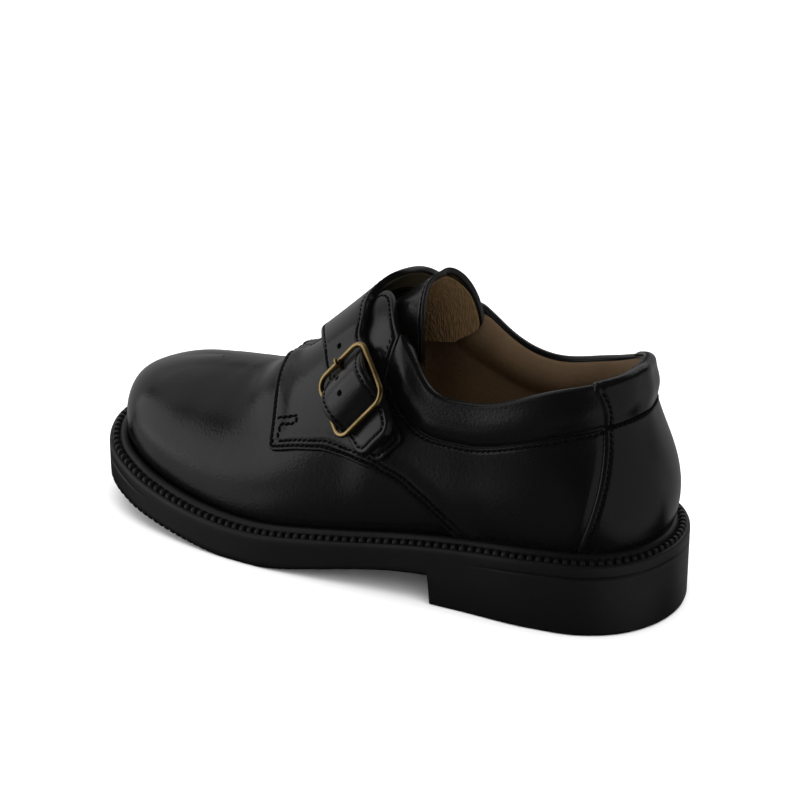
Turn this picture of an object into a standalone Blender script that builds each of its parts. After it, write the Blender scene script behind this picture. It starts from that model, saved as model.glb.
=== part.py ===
"""Single monk strap shoe for a left foot, standing empty on its sole.

Toe along +X, wearer's left (the outer side) along +Y, up along +Z.  Sizes are in millimetres, with x
measured from the heel's back, until each mesh is made in metres about the middle of the sole's outline.
"""
import bpy
import bmesh
import numpy as np

MM = 0.001

# Driving sizes
SOLE_LENGTH = 211.0
BALL_WIDTH = 76.2
HEEL_BREAST = 71.0
BREAST_SLANT = 0.8
TREAD = (132.0, 148.0)
FEATHER_INSET = 7.2
BEAD_HEIGHT = 3.0
WALL = 2.2
LINING_PAD = 2.4
COLLAR_PAD = 2.8
COLLAR_SEAM = 0.725
THROAT = 0.635
OVERLAY_GAP = 0.3
OVERLAY_THICK = 1.2
OVERLAY_FOOT = 0.035
INSOLE_THICK = 2.8
INSOLE_PLAY = 0.6
STRAP_THICK = 2.2
TAB_THICK = 1.6
TONGUE_THICK = 2.6
TONGUE_NECK = 0.505
TONGUE_ROOT = 0.628
TONGUE_TOP = (83.5, 100.4)
TONGUE_PINCH = 0.17
# Tongue's arched edge on each side: half width, drop, lean along the foot, squareness
TONGUE_LATERAL = (14.4, 28.0, 1.8, 2.9)
TONGUE_MEDIAL = (14.6, 25.0, -7.3, 2.0)

# Buckle: a flat rounded frame of wire over the strap, with a middle bar a little below it
BUCKLE_CENTRE = (103.2, 28.5, 65.45)
BUCKLE_BAR_AXIS = (-0.640, -0.108, 0.761)
BUCKLE_RUN_AXIS = (-0.678, 0.544, -0.494)
BUCKLE_WIDTH = 24.0
BUCKLE_RUN = 22.0
BUCKLE_CORNER = 4.2
WIRE_RADIUS = 0.9
MIDDLE_BAR_RADIUS = 0.8
MIDDLE_BAR_DROP = 1.2
PRONG_RADIUS = 0.7
HOLE_RADIUS = 1.25
HOLE_RUN = -9.2
STRAP_CROWN = 0.5


def table(names, *rows):
    """A short table: a dictionary of named columns."""
    return dict(zip(names.split(), np.array(rows, float).T))


# Sole outline: share of the length, then half widths as shares of the ball width
OUTLINE = table(
    "station lateral medial",
    (0.0000, 0.000, 0.000),
    (0.0123, 0.171, -0.171),
    (0.0455, 0.310, -0.310),
    (0.0995, 0.407, -0.407),
    (0.1706, 0.446, -0.441),
    (0.2938, 0.454, -0.381),
    (0.4171, 0.467, -0.335),
    (0.5308, 0.496, -0.387),
    (0.6351, 0.512, -0.466),
    (0.7251, 0.497, -0.488),
    (0.8152, 0.453, -0.461),
    (0.8934, 0.383, -0.399),
    (0.9502, 0.280, -0.318),
    (0.9853, 0.131, -0.203),
    (1.0000, -0.052, -0.052))

# Heights of the sole's top edge along the foot
SOLE_TOP = table(
    "x z",
    (0, 23.5), (36, 22.3), (71, 19.0), (105, 13.8), (138, 10.3), (168, 12.6), (190, 17.2), (211, 23.2))

# Underside: level heel, arch in front of the breast, level tread at the ball, toe spring
ARCH = table(
    "x z",
    (71, 10.2), (84, 8.8), (98, 6.4), (112, 3.5), (124, 1.1), (TREAD[0], 0.0), (TREAD[1], 0.0),
    (168, 2.3), (190, 6.2), (211, 11.5))

# How strongly the groove under the sole's lip shows along the foot
LIP = table("x depth", (0, 0.6), (45, 0.6), (75, 0.0), (150, 0.0), (185, 0.6), (211, 0.6))

# Crest of the instep and vamp
RIDGE = table(
    "x z",
    (88, 98.0), (96, 93.6), (104, 87.8), (112, 81.0), (120, 73.8), (128, 66.4), (136, 60.0), (144, 56.2),
    (152, 54.6), (160, 53.6), (168, 52.6), (178, 50.6))

# Ribs of the last from the feather line up to the topline or the crest.  share runs from the heel's back
# to the toe tip along one side; x y z is the rib's upper end; out and rise set the curve's handle at the
# foot, reach and drop the one at the top; level is how far the top handle follows the crest.
RIB_COLUMNS = "share x y z out rise reach drop level"
VAMP_RIBS = (
    (0.70, 143.0, -2.0, 56.6, 2.0, 17, 18.0, 0, 1.0),
    (0.79, 152.0, -3.0, 54.6, 3.0, 17, 20.0, 0, 1.0),
    (0.88, 160.0, -3.5, 53.6, 4.5, 17, 24.0, 0, 1.0),
    (0.95, 166.0, -4.0, 52.9, 5.5, 17, 29.0, 0, 1.0),
    (1.00, 169.0, -4.0, 52.4, 6.0, 17, 32.0, 0, 1.0))
LATERAL_RIBS = table(
    RIB_COLUMNS,
    (0.00, 16.0, 0.0, 79.4, 7.0, 22, -2.0, 20, 0.0),
    (0.09, 20.0, 13.0, 78.6, 7.0, 21, 0.0, 20, 0.0),
    (0.20, 36.0, 21.5, 75.0, 5.5, 20, 2.0, 20, 0.0),
    (0.32, 62.0, 23.5, 66.5, 4.0, 16, 3.0, 17, 0.0),
    (0.40, 79.0, 22.0, 69.5, 3.0, 16, 4.0, 17, 0.0),
    (0.44, 86.5, 17.5, 79.5, 3.0, 17, 7.0, 16, 0.0),
    (0.47, 91.0, 9.5, 90.0, 3.0, 18, 12.0, 9, 0.3),
    (0.50, 97.0, 0.0, 93.0, 2.5, 19, 16.0, 0, 1.0),
    (0.56, 114.0, -0.3, 79.2, 2.0, 19, 17.0, 0, 1.0),
    (0.62, 130.0, -1.0, 64.7, 1.8, 18, 17.5, 0, 1.0),
    *VAMP_RIBS)
MEDIAL_RIBS = table(
    RIB_COLUMNS,
    (0.00, 16.0, 0.0, 79.4, 7.0, 22, -2.0, 20, 0.0),
    (0.09, 20.0, -13.0, 77.3, 7.0, 21, 0.0, 20, 0.0),
    (0.20, 36.0, -21.5, 70.4, 5.5, 20, 2.0, 19, 0.0),
    (0.30, 56.0, -22.5, 66.6, 4.0, 17, 3.0, 17, 0.0),
    (0.38, 69.5, -20.5, 72.3, 3.0, 18, 4.0, 18, 0.0),
    (0.43, 80.0, -16.0, 83.0, 3.0, 20, 8.0, 16, 0.0),
    (0.47, 90.0, -8.5, 91.0, 3.0, 21, 16.0, 6, 0.3),
    (0.50, 97.0, 0.0, 93.0, 2.5, 21, 21.0, 0, 1.0),
    (0.56, 114.0, -0.3, 79.2, 2.0, 20, 20.0, 0, 1.0),
    (0.62, 130.0, -1.0, 64.7, 1.8, 18, 18.5, 0, 1.0),
    *VAMP_RIBS)

# Opening of the upper: share of each rib that is leather, along the collar and the facings
OPENING = table(
    "share height",
    (0.0, 1.0), (0.42, 1.0), (0.44, 0.955), (0.455, 0.90), (0.47, 0.865), (0.485, 0.865), (0.505, 0.90),
    (0.53, 0.935), (0.57, 0.955), (0.605, 0.975), (THROAT, 1.0), (1.0, 1.0))

# Quarter overlay: lower edge rising from the welt to the flap's front corner, and its front edge
FLAP_LOWER = table(
    "share height",
    (0.0, 0.0), (0.318, 0.0), (0.343, 0.113), (0.375, 0.245), (0.408, 0.335), (0.44, 0.34), (0.473, 0.312),
    (0.508, 0.306), (0.54, 0.331), (0.573, 0.352), (0.613, 0.366), (0.68, 0.39))
FLAP_FRONT = table(
    "height share",
    (0.0, 0.623), (0.388, 0.623), (0.58, 0.633), (0.78, 0.650), (1.0, 0.668))
COUNTER_EDGE = table(
    "height share",
    (0.0, 0.144), (0.213, 0.130), (0.463, 0.118), (0.694, 0.113), (0.925, 0.118), (1.0, 0.132))

# Strap in the buckle, in the buckle's own axes: place along the run, edges along the bars, height of its
# underside over the buckle's plane and the front edge's extra height, from the tail under, over and under
# the three bars
STRAP_TAIL = table(
    "run rear front height tilt",
    (20.0, 4.4, -9.8, -6.1, 0.0),
    (15.5, 6.4, -9.9, -5.2, 0.0),
    (11.2, 8.2, -10.0, -4.2, 0.0),
    (8.4, 9.2, -10.1, -3.3, 0.0),
    (4.8, 9.9, -10.2, -1.5, 0.0),
    (0.0, 10.1, -10.3, -0.1, 0.0),
    (-5.0, 10.1, -10.1, -1.8, 0.0),
    (-9.2, 10.0, -10.0, -3.3, 0.1),
    (-11.2, 9.9, -9.7, -3.95, 0.3),
    (-14.5, 9.7, -9.2, -4.0, 0.9))
# Strap over the instep to its root on the inner quarter.  height runs from 0 at the outer feather line
# through 1 at the crest to 2 at the inner one; lift is that of its underside over the last.
STRAP_OVER = table(
    "rear_share rear_height front_share front_height rear_lift front_lift",
    (0.516, 0.765, 0.568, 0.735, 2.5, 2.6),
    (0.526, 0.86, 0.584, 0.845, 2.6, 2.2),
    (0.529, 0.95, 0.598, 0.95, 2.5, 2.3),
    (0.511, 1.05, 0.607, 1.05, 3.4, 2.3),
    (0.486, 1.14, 0.614, 1.14, 5.0, 2.4),
    (0.470, 1.21, 0.618, 1.24, 6.8, 2.3),
    (0.461, 1.28, 0.618, 1.33, 6.2, 2.2),
    (0.461, 1.37, 0.617, 1.42, 4.0, 2.1),
    (0.469, 1.47, 0.615, 1.51, 2.3, 2.0),
    (0.482, 1.58, 0.612, 1.60, 2.1, 2.1))
TAB = table(
    "run rear_share rear_height front_share front_height rear_lift front_lift",
    (0.0, 0.406, 0.640, 0.442, 0.372, 2.3, 1.9),
    (0.5, 0.438, 0.648, 0.474, 0.400, 2.2, 1.9),
    (1.0, 0.468, 0.648, 0.506, 0.460, 2.0, 1.9))

# Welt section: inset from the sole's outline and height over the sole's top
WELT = table(
    "inset height",
    (0.9, 0.3), (0.8, 1.1), (1.7, 2.1), (2.7, 1.5), (4.0, 2.5), (5.2, 3.3), (6.4, 3.0), (6.9, 0.3))

# Sole side: inset and height over the underside, then inset and height under the top edge
SOLE_FOOT = table("inset height", (1.0, 0.0), (0.3, 0.35), (0.0, 1.1))
SOLE_HEAD = table(
    "inset depth lip",
    (0.0, 4.7, 0.0), (0.0, 4.1, 1.0), (0.0, 3.5, 0.0), (0.0, 0.8, 0.0), (0.6, 0.0, 0.0))

# Prong, along the strap's run and over the buckle's plane
PRONG = table(
    "run height",
    (0.0, -2.9), (-4.5, -2.9), (-8.0, -4.0), (-9.0, -3.4), (-9.25, -1.4), (-9.4, 0.7), (-10.2, 1.8),
    (-12.3, 1.85))

COLOURS = {
    "outsole": (0.020, 0.020, 0.021, 0.62),
    "welt": (0.018, 0.018, 0.019, 0.5),
    "insole": (0.55, 0.42, 0.27, 0.75),
    "upper": (0.020, 0.020, 0.022, 0.38),
    "quarter_lateral": (0.021, 0.021, 0.023, 0.36),
    "quarter_medial": (0.021, 0.021, 0.023, 0.36),
    "heel_counter": (0.022, 0.022, 0.024, 0.36),
    "tongue": (0.024, 0.024, 0.026, 0.45),
    "strap": (0.021, 0.021, 0.023, 0.35),
    "buckle_tab": (0.020, 0.020, 0.022, 0.4),
    "buckle_frame": (0.50, 0.38, 0.18, 0.32),
    "buckle_prong": (0.52, 0.40, 0.20, 0.32)}


def smooth(at, knots, values):
    """Curve through a table's rows: cubic pieces whose slopes come from the neighbouring rows."""
    at = np.clip(np.asarray(at, float), knots[0], knots[-1])
    steps = np.diff(knots)
    rises = np.diff(values) / steps
    slopes = np.empty(len(knots))
    slopes[0], slopes[-1] = rises[0], rises[-1]
    slopes[1:-1] = (rises[:-1] * steps[1:] + rises[1:] * steps[:-1]) / (steps[1:] + steps[:-1])
    i = np.clip(np.searchsorted(knots, at, side="right") - 1, 0, len(knots) - 2)
    h = steps[i]
    t = (at - knots[i]) / h
    ends = (1 + 2 * t) * (1 - t) ** 2 * values[i] + t * t * (3 - 2 * t) * values[i + 1]
    return ends + t * (1 - t) ** 2 * h * slopes[i] + t * t * (t - 1) * h * slopes[i + 1]


def column(at, rows, key, name):
    return smooth(at, rows[key], rows[name])


def outline_sides():
    """Dense lateral and medial halves of the sole's outline with outward directions, heel to toe."""
    x = OUTLINE["station"] * SOLE_LENGTH
    loop_x = np.r_[x, x[-2:0:-1]]
    loop_y = np.r_[OUTLINE["lateral"], OUTLINE["medial"][-2:0:-1]] * BALL_WIDTH
    wrap_x = np.r_[loop_x[-3:], loop_x, loop_x[:4]]
    wrap_y = np.r_[loop_y[-3:], loop_y, loop_y[:4]]
    reach = np.r_[0, np.cumsum(np.hypot(np.diff(wrap_x), np.diff(wrap_y)))]
    ends = reach[3], reach[2 + len(x)], reach[3 + len(loop_x)]
    sides = []
    for start, stop in ((ends[0], ends[1]), (ends[2], ends[1])):
        at = np.linspace(start, stop, 1201)
        points = np.stack([smooth(at, reach, wrap_x), smooth(at, reach, wrap_y)], -1)
        run = np.gradient(points, axis=0) * np.sign(stop - start)
        out = np.stack([-run[:, 1], run[:, 0]], -1)
        sides.append((points, out / np.linalg.norm(out, axis=1)[:, None]))
    return sides


SIDES = outline_sides()
MIDDLE = (SOLE_LENGTH / 2, (SIDES[0][0][:, 1].max() + SIDES[1][0][:, 1].min()) / 2, 0.0)


def sole_top(x):
    return column(x, SOLE_TOP, "x", "z")


def sole_bottom(x):
    """Level heel up to the breast, then the arch, tread and toe spring."""
    arched = np.where((x > TREAD[0]) & (x < TREAD[1]), 0.0, column(x, ARCH, "x", "z"))
    return np.where(x < HEEL_BREAST + 0.4 * BREAST_SLANT, 0.0, arched)


def crest(x):
    return column(x, RIDGE, "x", "z")


def opening(share):
    """Share of a rib that is leather: 1 where the topline or the crest ends it."""
    return np.minimum(column(share, OPENING, "share", "height"), 1.0)


def feather(side, share):
    """Foot of a rib on the feather line, with the outward direction, at a share of one side's length."""
    points, out = SIDES[side]
    points = points - out * FEATHER_INSET
    reach = np.r_[0, np.cumsum(np.linalg.norm(np.diff(points, axis=0), axis=1))]
    at = share * reach[-1]
    foot = [np.interp(at, reach, points[:, k]) for k in (0, 1)]
    away = np.stack([np.interp(at, reach, out[:, k]) for k in (0, 1)], -1)
    return np.stack(foot + [sole_top(foot[0]) + BEAD_HEIGHT], -1), away


def rib_points(side, share, height):
    """Cubic rib from its foot, bulging out by its handles, up to the topline or the crest."""
    rows = LATERAL_RIBS if side == 0 else MEDIAL_RIBS
    foot, away = feather(side, share)
    row = {name: column(share, rows, "share", name) for name in RIB_COLUMNS.split()[1:]}
    top = np.stack([row["x"], row["y"], row["z"]], -1)
    back = foot[..., :2] - top[..., :2]
    back = back / np.linalg.norm(back, axis=-1)[..., None]
    slope = (crest(row["x"] + 1) - crest(row["x"] - 1)) / 2 * np.clip(row["level"], 0, 1)
    low = foot + np.concatenate([away * row["out"][..., None], row["rise"][..., None]], -1)
    fall = slope * back[..., 0] * row["reach"] - row["drop"]
    high = top + np.concatenate([back * row["reach"][..., None], fall[..., None]], -1)
    t = height[..., None]
    return foot * (1 - t) ** 3 + 3 * low * t * (1 - t) ** 2 + 3 * high * t * t * (1 - t) + top * t ** 3


def last_points(ring, height):
    """The last's surface: ring runs 0 to 1 along the lateral side and 0 to -1 along the medial side."""
    ring = (np.asarray(ring, float) + 1) % 2 - 1
    height = np.broadcast_to(np.asarray(height, float), ring.shape)
    lateral = rib_points(0, np.abs(ring), height)
    medial = rib_points(1, np.abs(ring), height)
    return np.where((ring >= 0)[..., None], lateral, medial)


def last_normals(ring, height):
    """Outward directions of the last's surface; along the crest they lie in its own upright plane."""
    ring = np.asarray(ring, float)
    height = np.broadcast_to(np.asarray(height, float), ring.shape)
    along = last_points(ring + 2e-3, height) - last_points(ring - 2e-3, height)
    up = last_points(ring, np.minimum(height + 2e-3, 1)) - last_points(ring, np.maximum(height - 2e-3, 0))
    normal = np.cross(up, along)
    normal /= np.maximum(np.linalg.norm(normal, axis=-1), 1e-9)[..., None]
    x = last_points(ring, height)[..., 0]
    ridge = np.stack([-(crest(x + 1) - crest(x - 1)) / 2, np.zeros_like(x), np.ones_like(x)], -1)
    ridge /= np.linalg.norm(ridge, axis=-1)[..., None]
    on_crest = (height > 0.999) & (np.abs((ring + 1) % 2 - 1) > 0.49)
    return np.where(on_crest[..., None], ridge, normal)


def pad(ring, height):
    """Swell of the padded collar above its seam, fading out towards the facings."""
    share = np.abs(ring)
    q = np.clip((height - COLLAR_SEAM) / (1 - COLLAR_SEAM), 0, 1)
    fade = 1 - np.clip((share - 0.40) / 0.04, 0, 1)
    return COLLAR_PAD * np.sin(np.pi * np.minimum(q, 0.82)) ** 0.7 * fade


def last(ring, height, lift):
    """A point of the last moved out by a lift."""
    return last_points(ring, height) + last_normals(ring, height) * np.asarray(lift, float)[..., None]


def saddle(share, height, lift):
    """The last over the instep: height 0 to 1 rises on the lateral side, 1 to 2 falls on the medial."""
    ring = np.where(height <= 1, share, -share)
    return last(ring, np.where(height <= 1, height, 2 - height), lift)


def make(name, vertices, faces):
    """An object from millimetre points, welded, faces outward, with its own material."""
    mesh = bpy.data.meshes.new(name)
    mesh.from_pydata([tuple(p) for p in (np.asarray(vertices) - MIDDLE) * MM], [], faces)
    form = bmesh.new()
    form.from_mesh(mesh)
    bmesh.ops.remove_doubles(form, verts=form.verts, dist=2e-6)
    bmesh.ops.dissolve_degenerate(form, edges=form.edges, dist=1e-7)
    bmesh.ops.recalc_face_normals(form, faces=form.faces)
    form.to_mesh(mesh)
    form.free()
    material = bpy.data.materials.new(name + "_material")
    material.use_nodes = True
    red, green, blue, rough = COLOURS[name]
    shader = material.node_tree.nodes["Principled BSDF"]
    shader.inputs["Base Color"].default_value = (red, green, blue, 1.0)
    shader.inputs["Roughness"].default_value = rough
    shader.inputs["Metallic"].default_value = 1.0 if name in ("buckle_frame", "buckle_prong") else 0.0
    mesh.materials.append(material)
    thing = bpy.data.objects.new(name, mesh)
    bpy.context.scene.collection.objects.link(thing)
    return thing


def grid_faces(first, rows, columns, wrap_rows=False, wrap_columns=False):
    """Quads of a grid of points numbered row by row from first."""
    faces = []
    for i in range(rows if wrap_rows else rows - 1):
        for j in range(columns if wrap_columns else columns - 1):
            a, b = i % rows, (i + 1) % rows
            c, d = j % columns, (j + 1) % columns
            faces.append((first + a * columns + c, first + b * columns + c,
                          first + b * columns + d, first + a * columns + d))
    return faces


def slab(name, under, over):
    """A closed sheet between two grids of points."""
    rows, columns = under.shape[:2]
    count = rows * columns
    vertices = np.concatenate([under.reshape(-1, 3), over.reshape(-1, 3)])
    faces = grid_faces(0, rows, columns) + grid_faces(count, rows, columns)
    border = [j for j in range(columns)]
    border += [i * columns + columns - 1 for i in range(1, rows)]
    border += [(rows - 1) * columns + j for j in range(columns - 2, -1, -1)]
    border += [i * columns for i in range(rows - 2, 0, -1)]
    for a, b in zip(border, border[1:] + border[:1]):
        faces.append((a, b, count + b, count + a))
    return make(name, vertices, faces)


def tube(name, path, radius, across, sides=8, closed=False):
    """Round wire along a path; across is a direction never along the path."""
    path = np.asarray(path, float)
    if closed:
        run = np.roll(path, -1, 0) - np.roll(path, 1, 0)
    else:
        run = np.gradient(path, axis=0)
    run /= np.linalg.norm(run, axis=1)[:, None]
    one = np.cross(run, across)
    one /= np.linalg.norm(one, axis=1)[:, None]
    two = np.cross(run, one)
    turn = np.linspace(0, 2 * np.pi, sides, endpoint=False)
    swing = np.cos(turn)[:, None] * one[:, None] + np.sin(turn)[:, None] * two[:, None]
    rings = path[:, None] + radius * swing
    count = len(path)
    faces = grid_faces(0, count, sides, closed, True)
    if not closed:
        faces += [tuple(range(sides)), tuple(range((count - 1) * sides, count * sides))]
    return make(name, rings.reshape(-1, 3), faces)


def stations(count=40):
    """Places along the foot, closer together at heel and toe, with a pair at the heel breast and one at
    each end of the level tread."""
    x = SOLE_LENGTH * (1 - np.cos(np.linspace(0, np.pi, count + 1))) / 2
    for end in TREAD:
        x[np.argmin(np.abs(x - end))] = end
    x = x[np.abs(x - HEEL_BREAST - BREAST_SLANT / 2) > 2.2]
    return np.sort(np.r_[x, HEEL_BREAST, HEEL_BREAST + BREAST_SLANT])


def loop(x, inset):
    """The sole's outline at the given places, moved inward: lateral points, then medial ones back."""
    halves = []
    for points, out in SIDES:
        spot = [np.interp(x, points[:, 0], points[:, 1])]
        way = np.stack([np.interp(x, points[:, 0], out[:, k]) for k in (0, 1)], -1)
        way /= np.linalg.norm(way, axis=1)[:, None]
        halves.append(np.stack([x, spot[0]], -1) - way * np.asarray(inset)[..., None])
    return np.concatenate([halves[0], halves[1][-2:0:-1]])


def cap_faces(first, count):
    """Quads across a loop of points, pairing the two sides, with a triangle at each end."""
    last_one = 2 * count - 2
    faces = [(first, first + 1, first + last_one - 1)]
    for i in range(1, count - 2):
        faces.append((first + i, first + i + 1, first + last_one - i - 1, first + last_one - i))
    faces.append((first + count - 2, first + count - 1, first + count))
    return faces


def stacked(name, rings):
    """A solid from loops stacked one on another, closed across the first and the last."""
    size = len(rings[0])
    faces = grid_faces(0, len(rings), size, False, True)
    faces += cap_faces(0, size // 2 + 1) + cap_faces((len(rings) - 1) * size, size // 2 + 1)
    return make(name, np.concatenate(rings), faces)


def both_ways(x):
    return np.concatenate([x, x[-2:0:-1]])


def build_outsole():
    x = stations()
    along = both_ways(x)
    low, high = sole_bottom(along), sole_top(along)
    rings = []
    for inset, height in zip(SOLE_FOOT["inset"], SOLE_FOOT["height"]):
        rings.append(np.c_[loop(x, np.full(len(x), inset)), low + height])
    for inset, depth, lip in zip(SOLE_HEAD["inset"], SOLE_HEAD["depth"], SOLE_HEAD["lip"]):
        rings.append(np.c_[loop(x, inset + lip * column(x, LIP, "x", "depth")), high - depth])
    stacked("outsole", rings)


def build_insole():
    x = stations()
    edge = loop(x, np.full(len(x), FEATHER_INSET + WALL + INSOLE_PLAY))
    floor = sole_top(edge[:, 0]) + OVERLAY_GAP
    stacked("insole", [np.c_[edge, floor], np.c_[edge, floor + INSOLE_THICK]])


def build_welt():
    x = stations()
    x = np.delete(x, np.where(x == HEEL_BREAST + BREAST_SLANT)[0])
    high = sole_top(both_ways(x))
    rings = [np.c_[loop(x, np.full(len(x), inset)), high + height]
             for inset, height in zip(WELT["inset"], WELT["height"])]
    points = np.stack(rings, 1)
    make("welt", points.reshape(-1, 3), grid_faces(0, points.shape[0], points.shape[1], True, True))


# Rib places from the heel's back to the throat, closest where the quarters turn up into the facings
FACING_STATIONS = np.r_[
    np.linspace(0, 0.42, 17), np.linspace(0.42, 0.52, 9)[1:], np.linspace(0.52, THROAT, 6)[1:]]


def build_upper(front=13):
    """Hollow upper: an outer and an inner skin from feather line to topline, joined by a rolled rim round
    the collar and facings, by the crest over the vamp and by a hem behind the welt."""
    half = np.r_[FACING_STATIONS, np.linspace(THROAT, 1, front + 1)[1:]]
    ring = np.r_[half, -half[-2:0:-1]]
    open_to = opening(np.abs(ring))
    level = np.array([0.0, 0.15, 0.32, 0.5, 0.64, COLLAR_SEAM, 0.79, 0.87, 0.945, 1.0])
    ring_grid = np.repeat(ring[:, None], len(level), 1)
    height = open_to[:, None] * level
    outer = last(ring_grid, height, pad(ring_grid, height))
    thick = WALL + LINING_PAD / COLLAR_PAD * pad(ring_grid, height)
    inner = last(ring_grid, height, -thick)
    hem = np.array([0.0, 0.0, OVERLAY_GAP - BEAD_HEIGHT])
    outer = np.concatenate([outer[:, :1] + hem, outer], 1)
    inner = np.concatenate([inner[:, :1] + hem, inner], 1)
    ribs, tall = outer.shape[:2]
    out_top, in_top = outer[:, -1], inner[:, -1]
    tip = out_top - outer[:, -2]
    tip /= np.linalg.norm(tip, axis=1)[:, None]
    gap = np.linalg.norm(out_top - in_top, axis=1)
    turn = np.linspace(0, np.pi, 5)[1:-1]
    rise = 0.42 * gap * (np.abs(ring) < THROAT - 1e-6)
    middle, half_span = (out_top + in_top) / 2, (out_top - in_top) / 2
    rim = (middle[:, None] + half_span[:, None] * np.cos(turn)[:, None]
           + tip[:, None] * (rise[:, None] * np.sin(turn))[..., None])
    count = ribs * tall
    vertices = np.concatenate([outer.reshape(-1, 3), inner.reshape(-1, 3), rim.reshape(-1, 3)])
    faces = grid_faces(0, ribs, tall, True) + grid_faces(count, ribs, tall, True)
    for i in range(ribs):
        j = (i + 1) % ribs
        faces.append((i * tall, j * tall, count + j * tall, count + i * tall))
        if max(abs(ring[i]), abs(ring[j])) > THROAT + 1e-6:
            continue
        chain = []
        for k in (i, j):
            top, bend = k * tall + tall - 1, 2 * count + 3 * k
            chain.append([top, bend, bend + 1, bend + 2, count + top])
        for m in range(4):
            faces.append((chain[0][m], chain[1][m], chain[1][m + 1], chain[0][m + 1]))
    make("upper", vertices, faces)


# Places of the quarter's columns between its nominal ends; the facing starts at FACING_REAR
QUARTER_REAR = 0.13
QUARTER_FRONT = 0.63
FACING_REAR = 0.459
END_BLEND = 0.10


def build_quarter(name, sign, rows=9):
    """Quarter laid over the upper: counter seam to flap edge, welt or flap's lower edge to collar seam,
    and behind the throat up to the facing's edge."""
    base = np.r_[np.linspace(QUARTER_REAR, 0.42, 10), np.linspace(0.42, FACING_REAR - 0.003, 4)[1:],
                 np.linspace(FACING_REAR, 0.52, 7), np.linspace(0.52, QUARTER_FRONT, 6)[1:]][:, None]
    near_rear = np.clip(1 - (base - QUARTER_REAR) / END_BLEND, 0, 1)
    near_front = np.clip(1 - (QUARTER_FRONT - base) / END_BLEND, 0, 1)
    up = np.linspace(0, 1, rows)[None]
    height = np.repeat(up, len(base), 0)
    for _ in range(6):
        rear = column(height, COUNTER_EDGE, "height", "share") + 0.006
        front = column(height, FLAP_FRONT, "height", "share")
        share = base + near_rear * (rear - QUARTER_REAR) + near_front * (front - QUARTER_FRONT)
        low = np.maximum(column(share, FLAP_LOWER, "share", "height"), OVERLAY_FOOT)
        high = np.where(base >= FACING_REAR, opening(share) - 0.006, COLLAR_SEAM - 0.012)
        height = low + (high - low) * up
    ring = sign * share
    lift = np.full(ring.shape, 1.5 * OVERLAY_GAP)
    slab(name, last(ring, height, lift), last(ring, height, lift + OVERLAY_THICK))


def build_counter(columns=15, rows=12):
    """Heel counter wrapped round the back, from the welt to the collar's top."""
    height = np.repeat(np.linspace(OVERLAY_FOOT, 0.97, rows)[None], columns, 0)
    edge = column(height, COUNTER_EDGE, "height", "share")
    ring = edge * np.linspace(1, -1, columns)[:, None]
    lift = pad(ring, height) + 2 * OVERLAY_GAP
    slab("heel_counter", last(ring, height, lift), last(ring, height, lift + OVERLAY_THICK))


def band(rows, run, across, thick):
    """Under and over grids of a strap: edges from its table, a little crowned between them."""
    run = np.asarray(run)[:, None]
    across = np.asarray(across)[None]
    mixed = {}
    for name in ("share", "height", "lift"):
        rear = column(run, rows, "run", "rear_" + name)
        front = column(run, rows, "run", "front_" + name)
        mixed[name] = rear + (front - rear) * across
    under = saddle(mixed["share"], mixed["height"], mixed["lift"])
    over = saddle(mixed["share"], mixed["height"], mixed["lift"] + thick)
    return under, over


def buckle_axes():
    bar = np.array(BUCKLE_BAR_AXIS)
    run = np.array(BUCKLE_RUN_AXIS)
    bar = bar / np.linalg.norm(bar)
    run = run - bar * (run @ bar)
    run = run / np.linalg.norm(run)
    out = np.cross(run, bar)
    return bar, run, out


def buckle_point(bar_place, run_place, height):
    bar, run, out = buckle_axes()
    place = [np.asarray(q, float)[..., None] for q in (bar_place, run_place, height)]
    return np.array(BUCKLE_CENTRE) + place[0] * bar + place[1] * run + place[2] * out


def rounded_frame(count=36):
    """Middle line of the buckle's wire: a rectangle with round corners."""
    half = np.array([BUCKLE_WIDTH / 2, BUCKLE_RUN / 2]) - BUCKLE_CORNER
    corners = []
    for k, (sx, sy) in enumerate(((1, 1), (-1, 1), (-1, -1), (1, -1))):
        turn = np.pi / 2 * k + np.linspace(0, np.pi / 2, 6)
        bend = BUCKLE_CORNER * np.stack([np.cos(turn), np.sin(turn)], -1)
        corners.append(np.array([sx, sy]) * half + bend)
    path = np.concatenate(corners + [corners[0][:1]])
    reach = np.r_[0, np.cumsum(np.linalg.norm(np.diff(path, axis=0), axis=1))]
    at = np.linspace(0, reach[-1], count, endpoint=False)
    return np.stack([np.interp(at, reach, path[:, k]) for k in (0, 1)], -1)


def cut(thing, cutter):
    modifier = thing.modifiers.new("cut", "BOOLEAN")
    modifier.operation = "DIFFERENCE"
    modifier.solver = "EXACT"
    modifier.object = cutter
    cutter.hide_render = True
    cutter.display_type = "WIRE"


def strap_net():
    """Rows of rear, middle and front points of the strap's underside, with their outward directions."""
    tail = STRAP_TAIL
    places = np.stack([tail["rear"], (tail["rear"] + tail["front"]) / 2, tail["front"]], -1)
    runs = np.repeat(tail["run"][:, None], 3, 1)
    heights = tail["height"][:, None] + STRAP_CROWN * np.array([0.0, 1.0, 0.0])
    heights = heights + tail["tilt"][:, None] * np.array([0.0, 0.4, 1.0])
    tail_points = buckle_point(places, runs, heights)
    tail_normals = np.broadcast_to(buckle_axes()[2], tail_points.shape)
    mixed = {}
    for name in ("share", "height", "lift"):
        rear, front = STRAP_OVER["rear_" + name], STRAP_OVER["front_" + name]
        mixed[name] = np.stack([rear, (rear + front) / 2, front], -1)
    under = saddle(mixed["share"], mixed["height"], mixed["lift"])
    normals = saddle(mixed["share"], mixed["height"], mixed["lift"] + 1) - under
    return np.concatenate([tail_points, under]), np.concatenate([tail_normals, normals])


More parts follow.
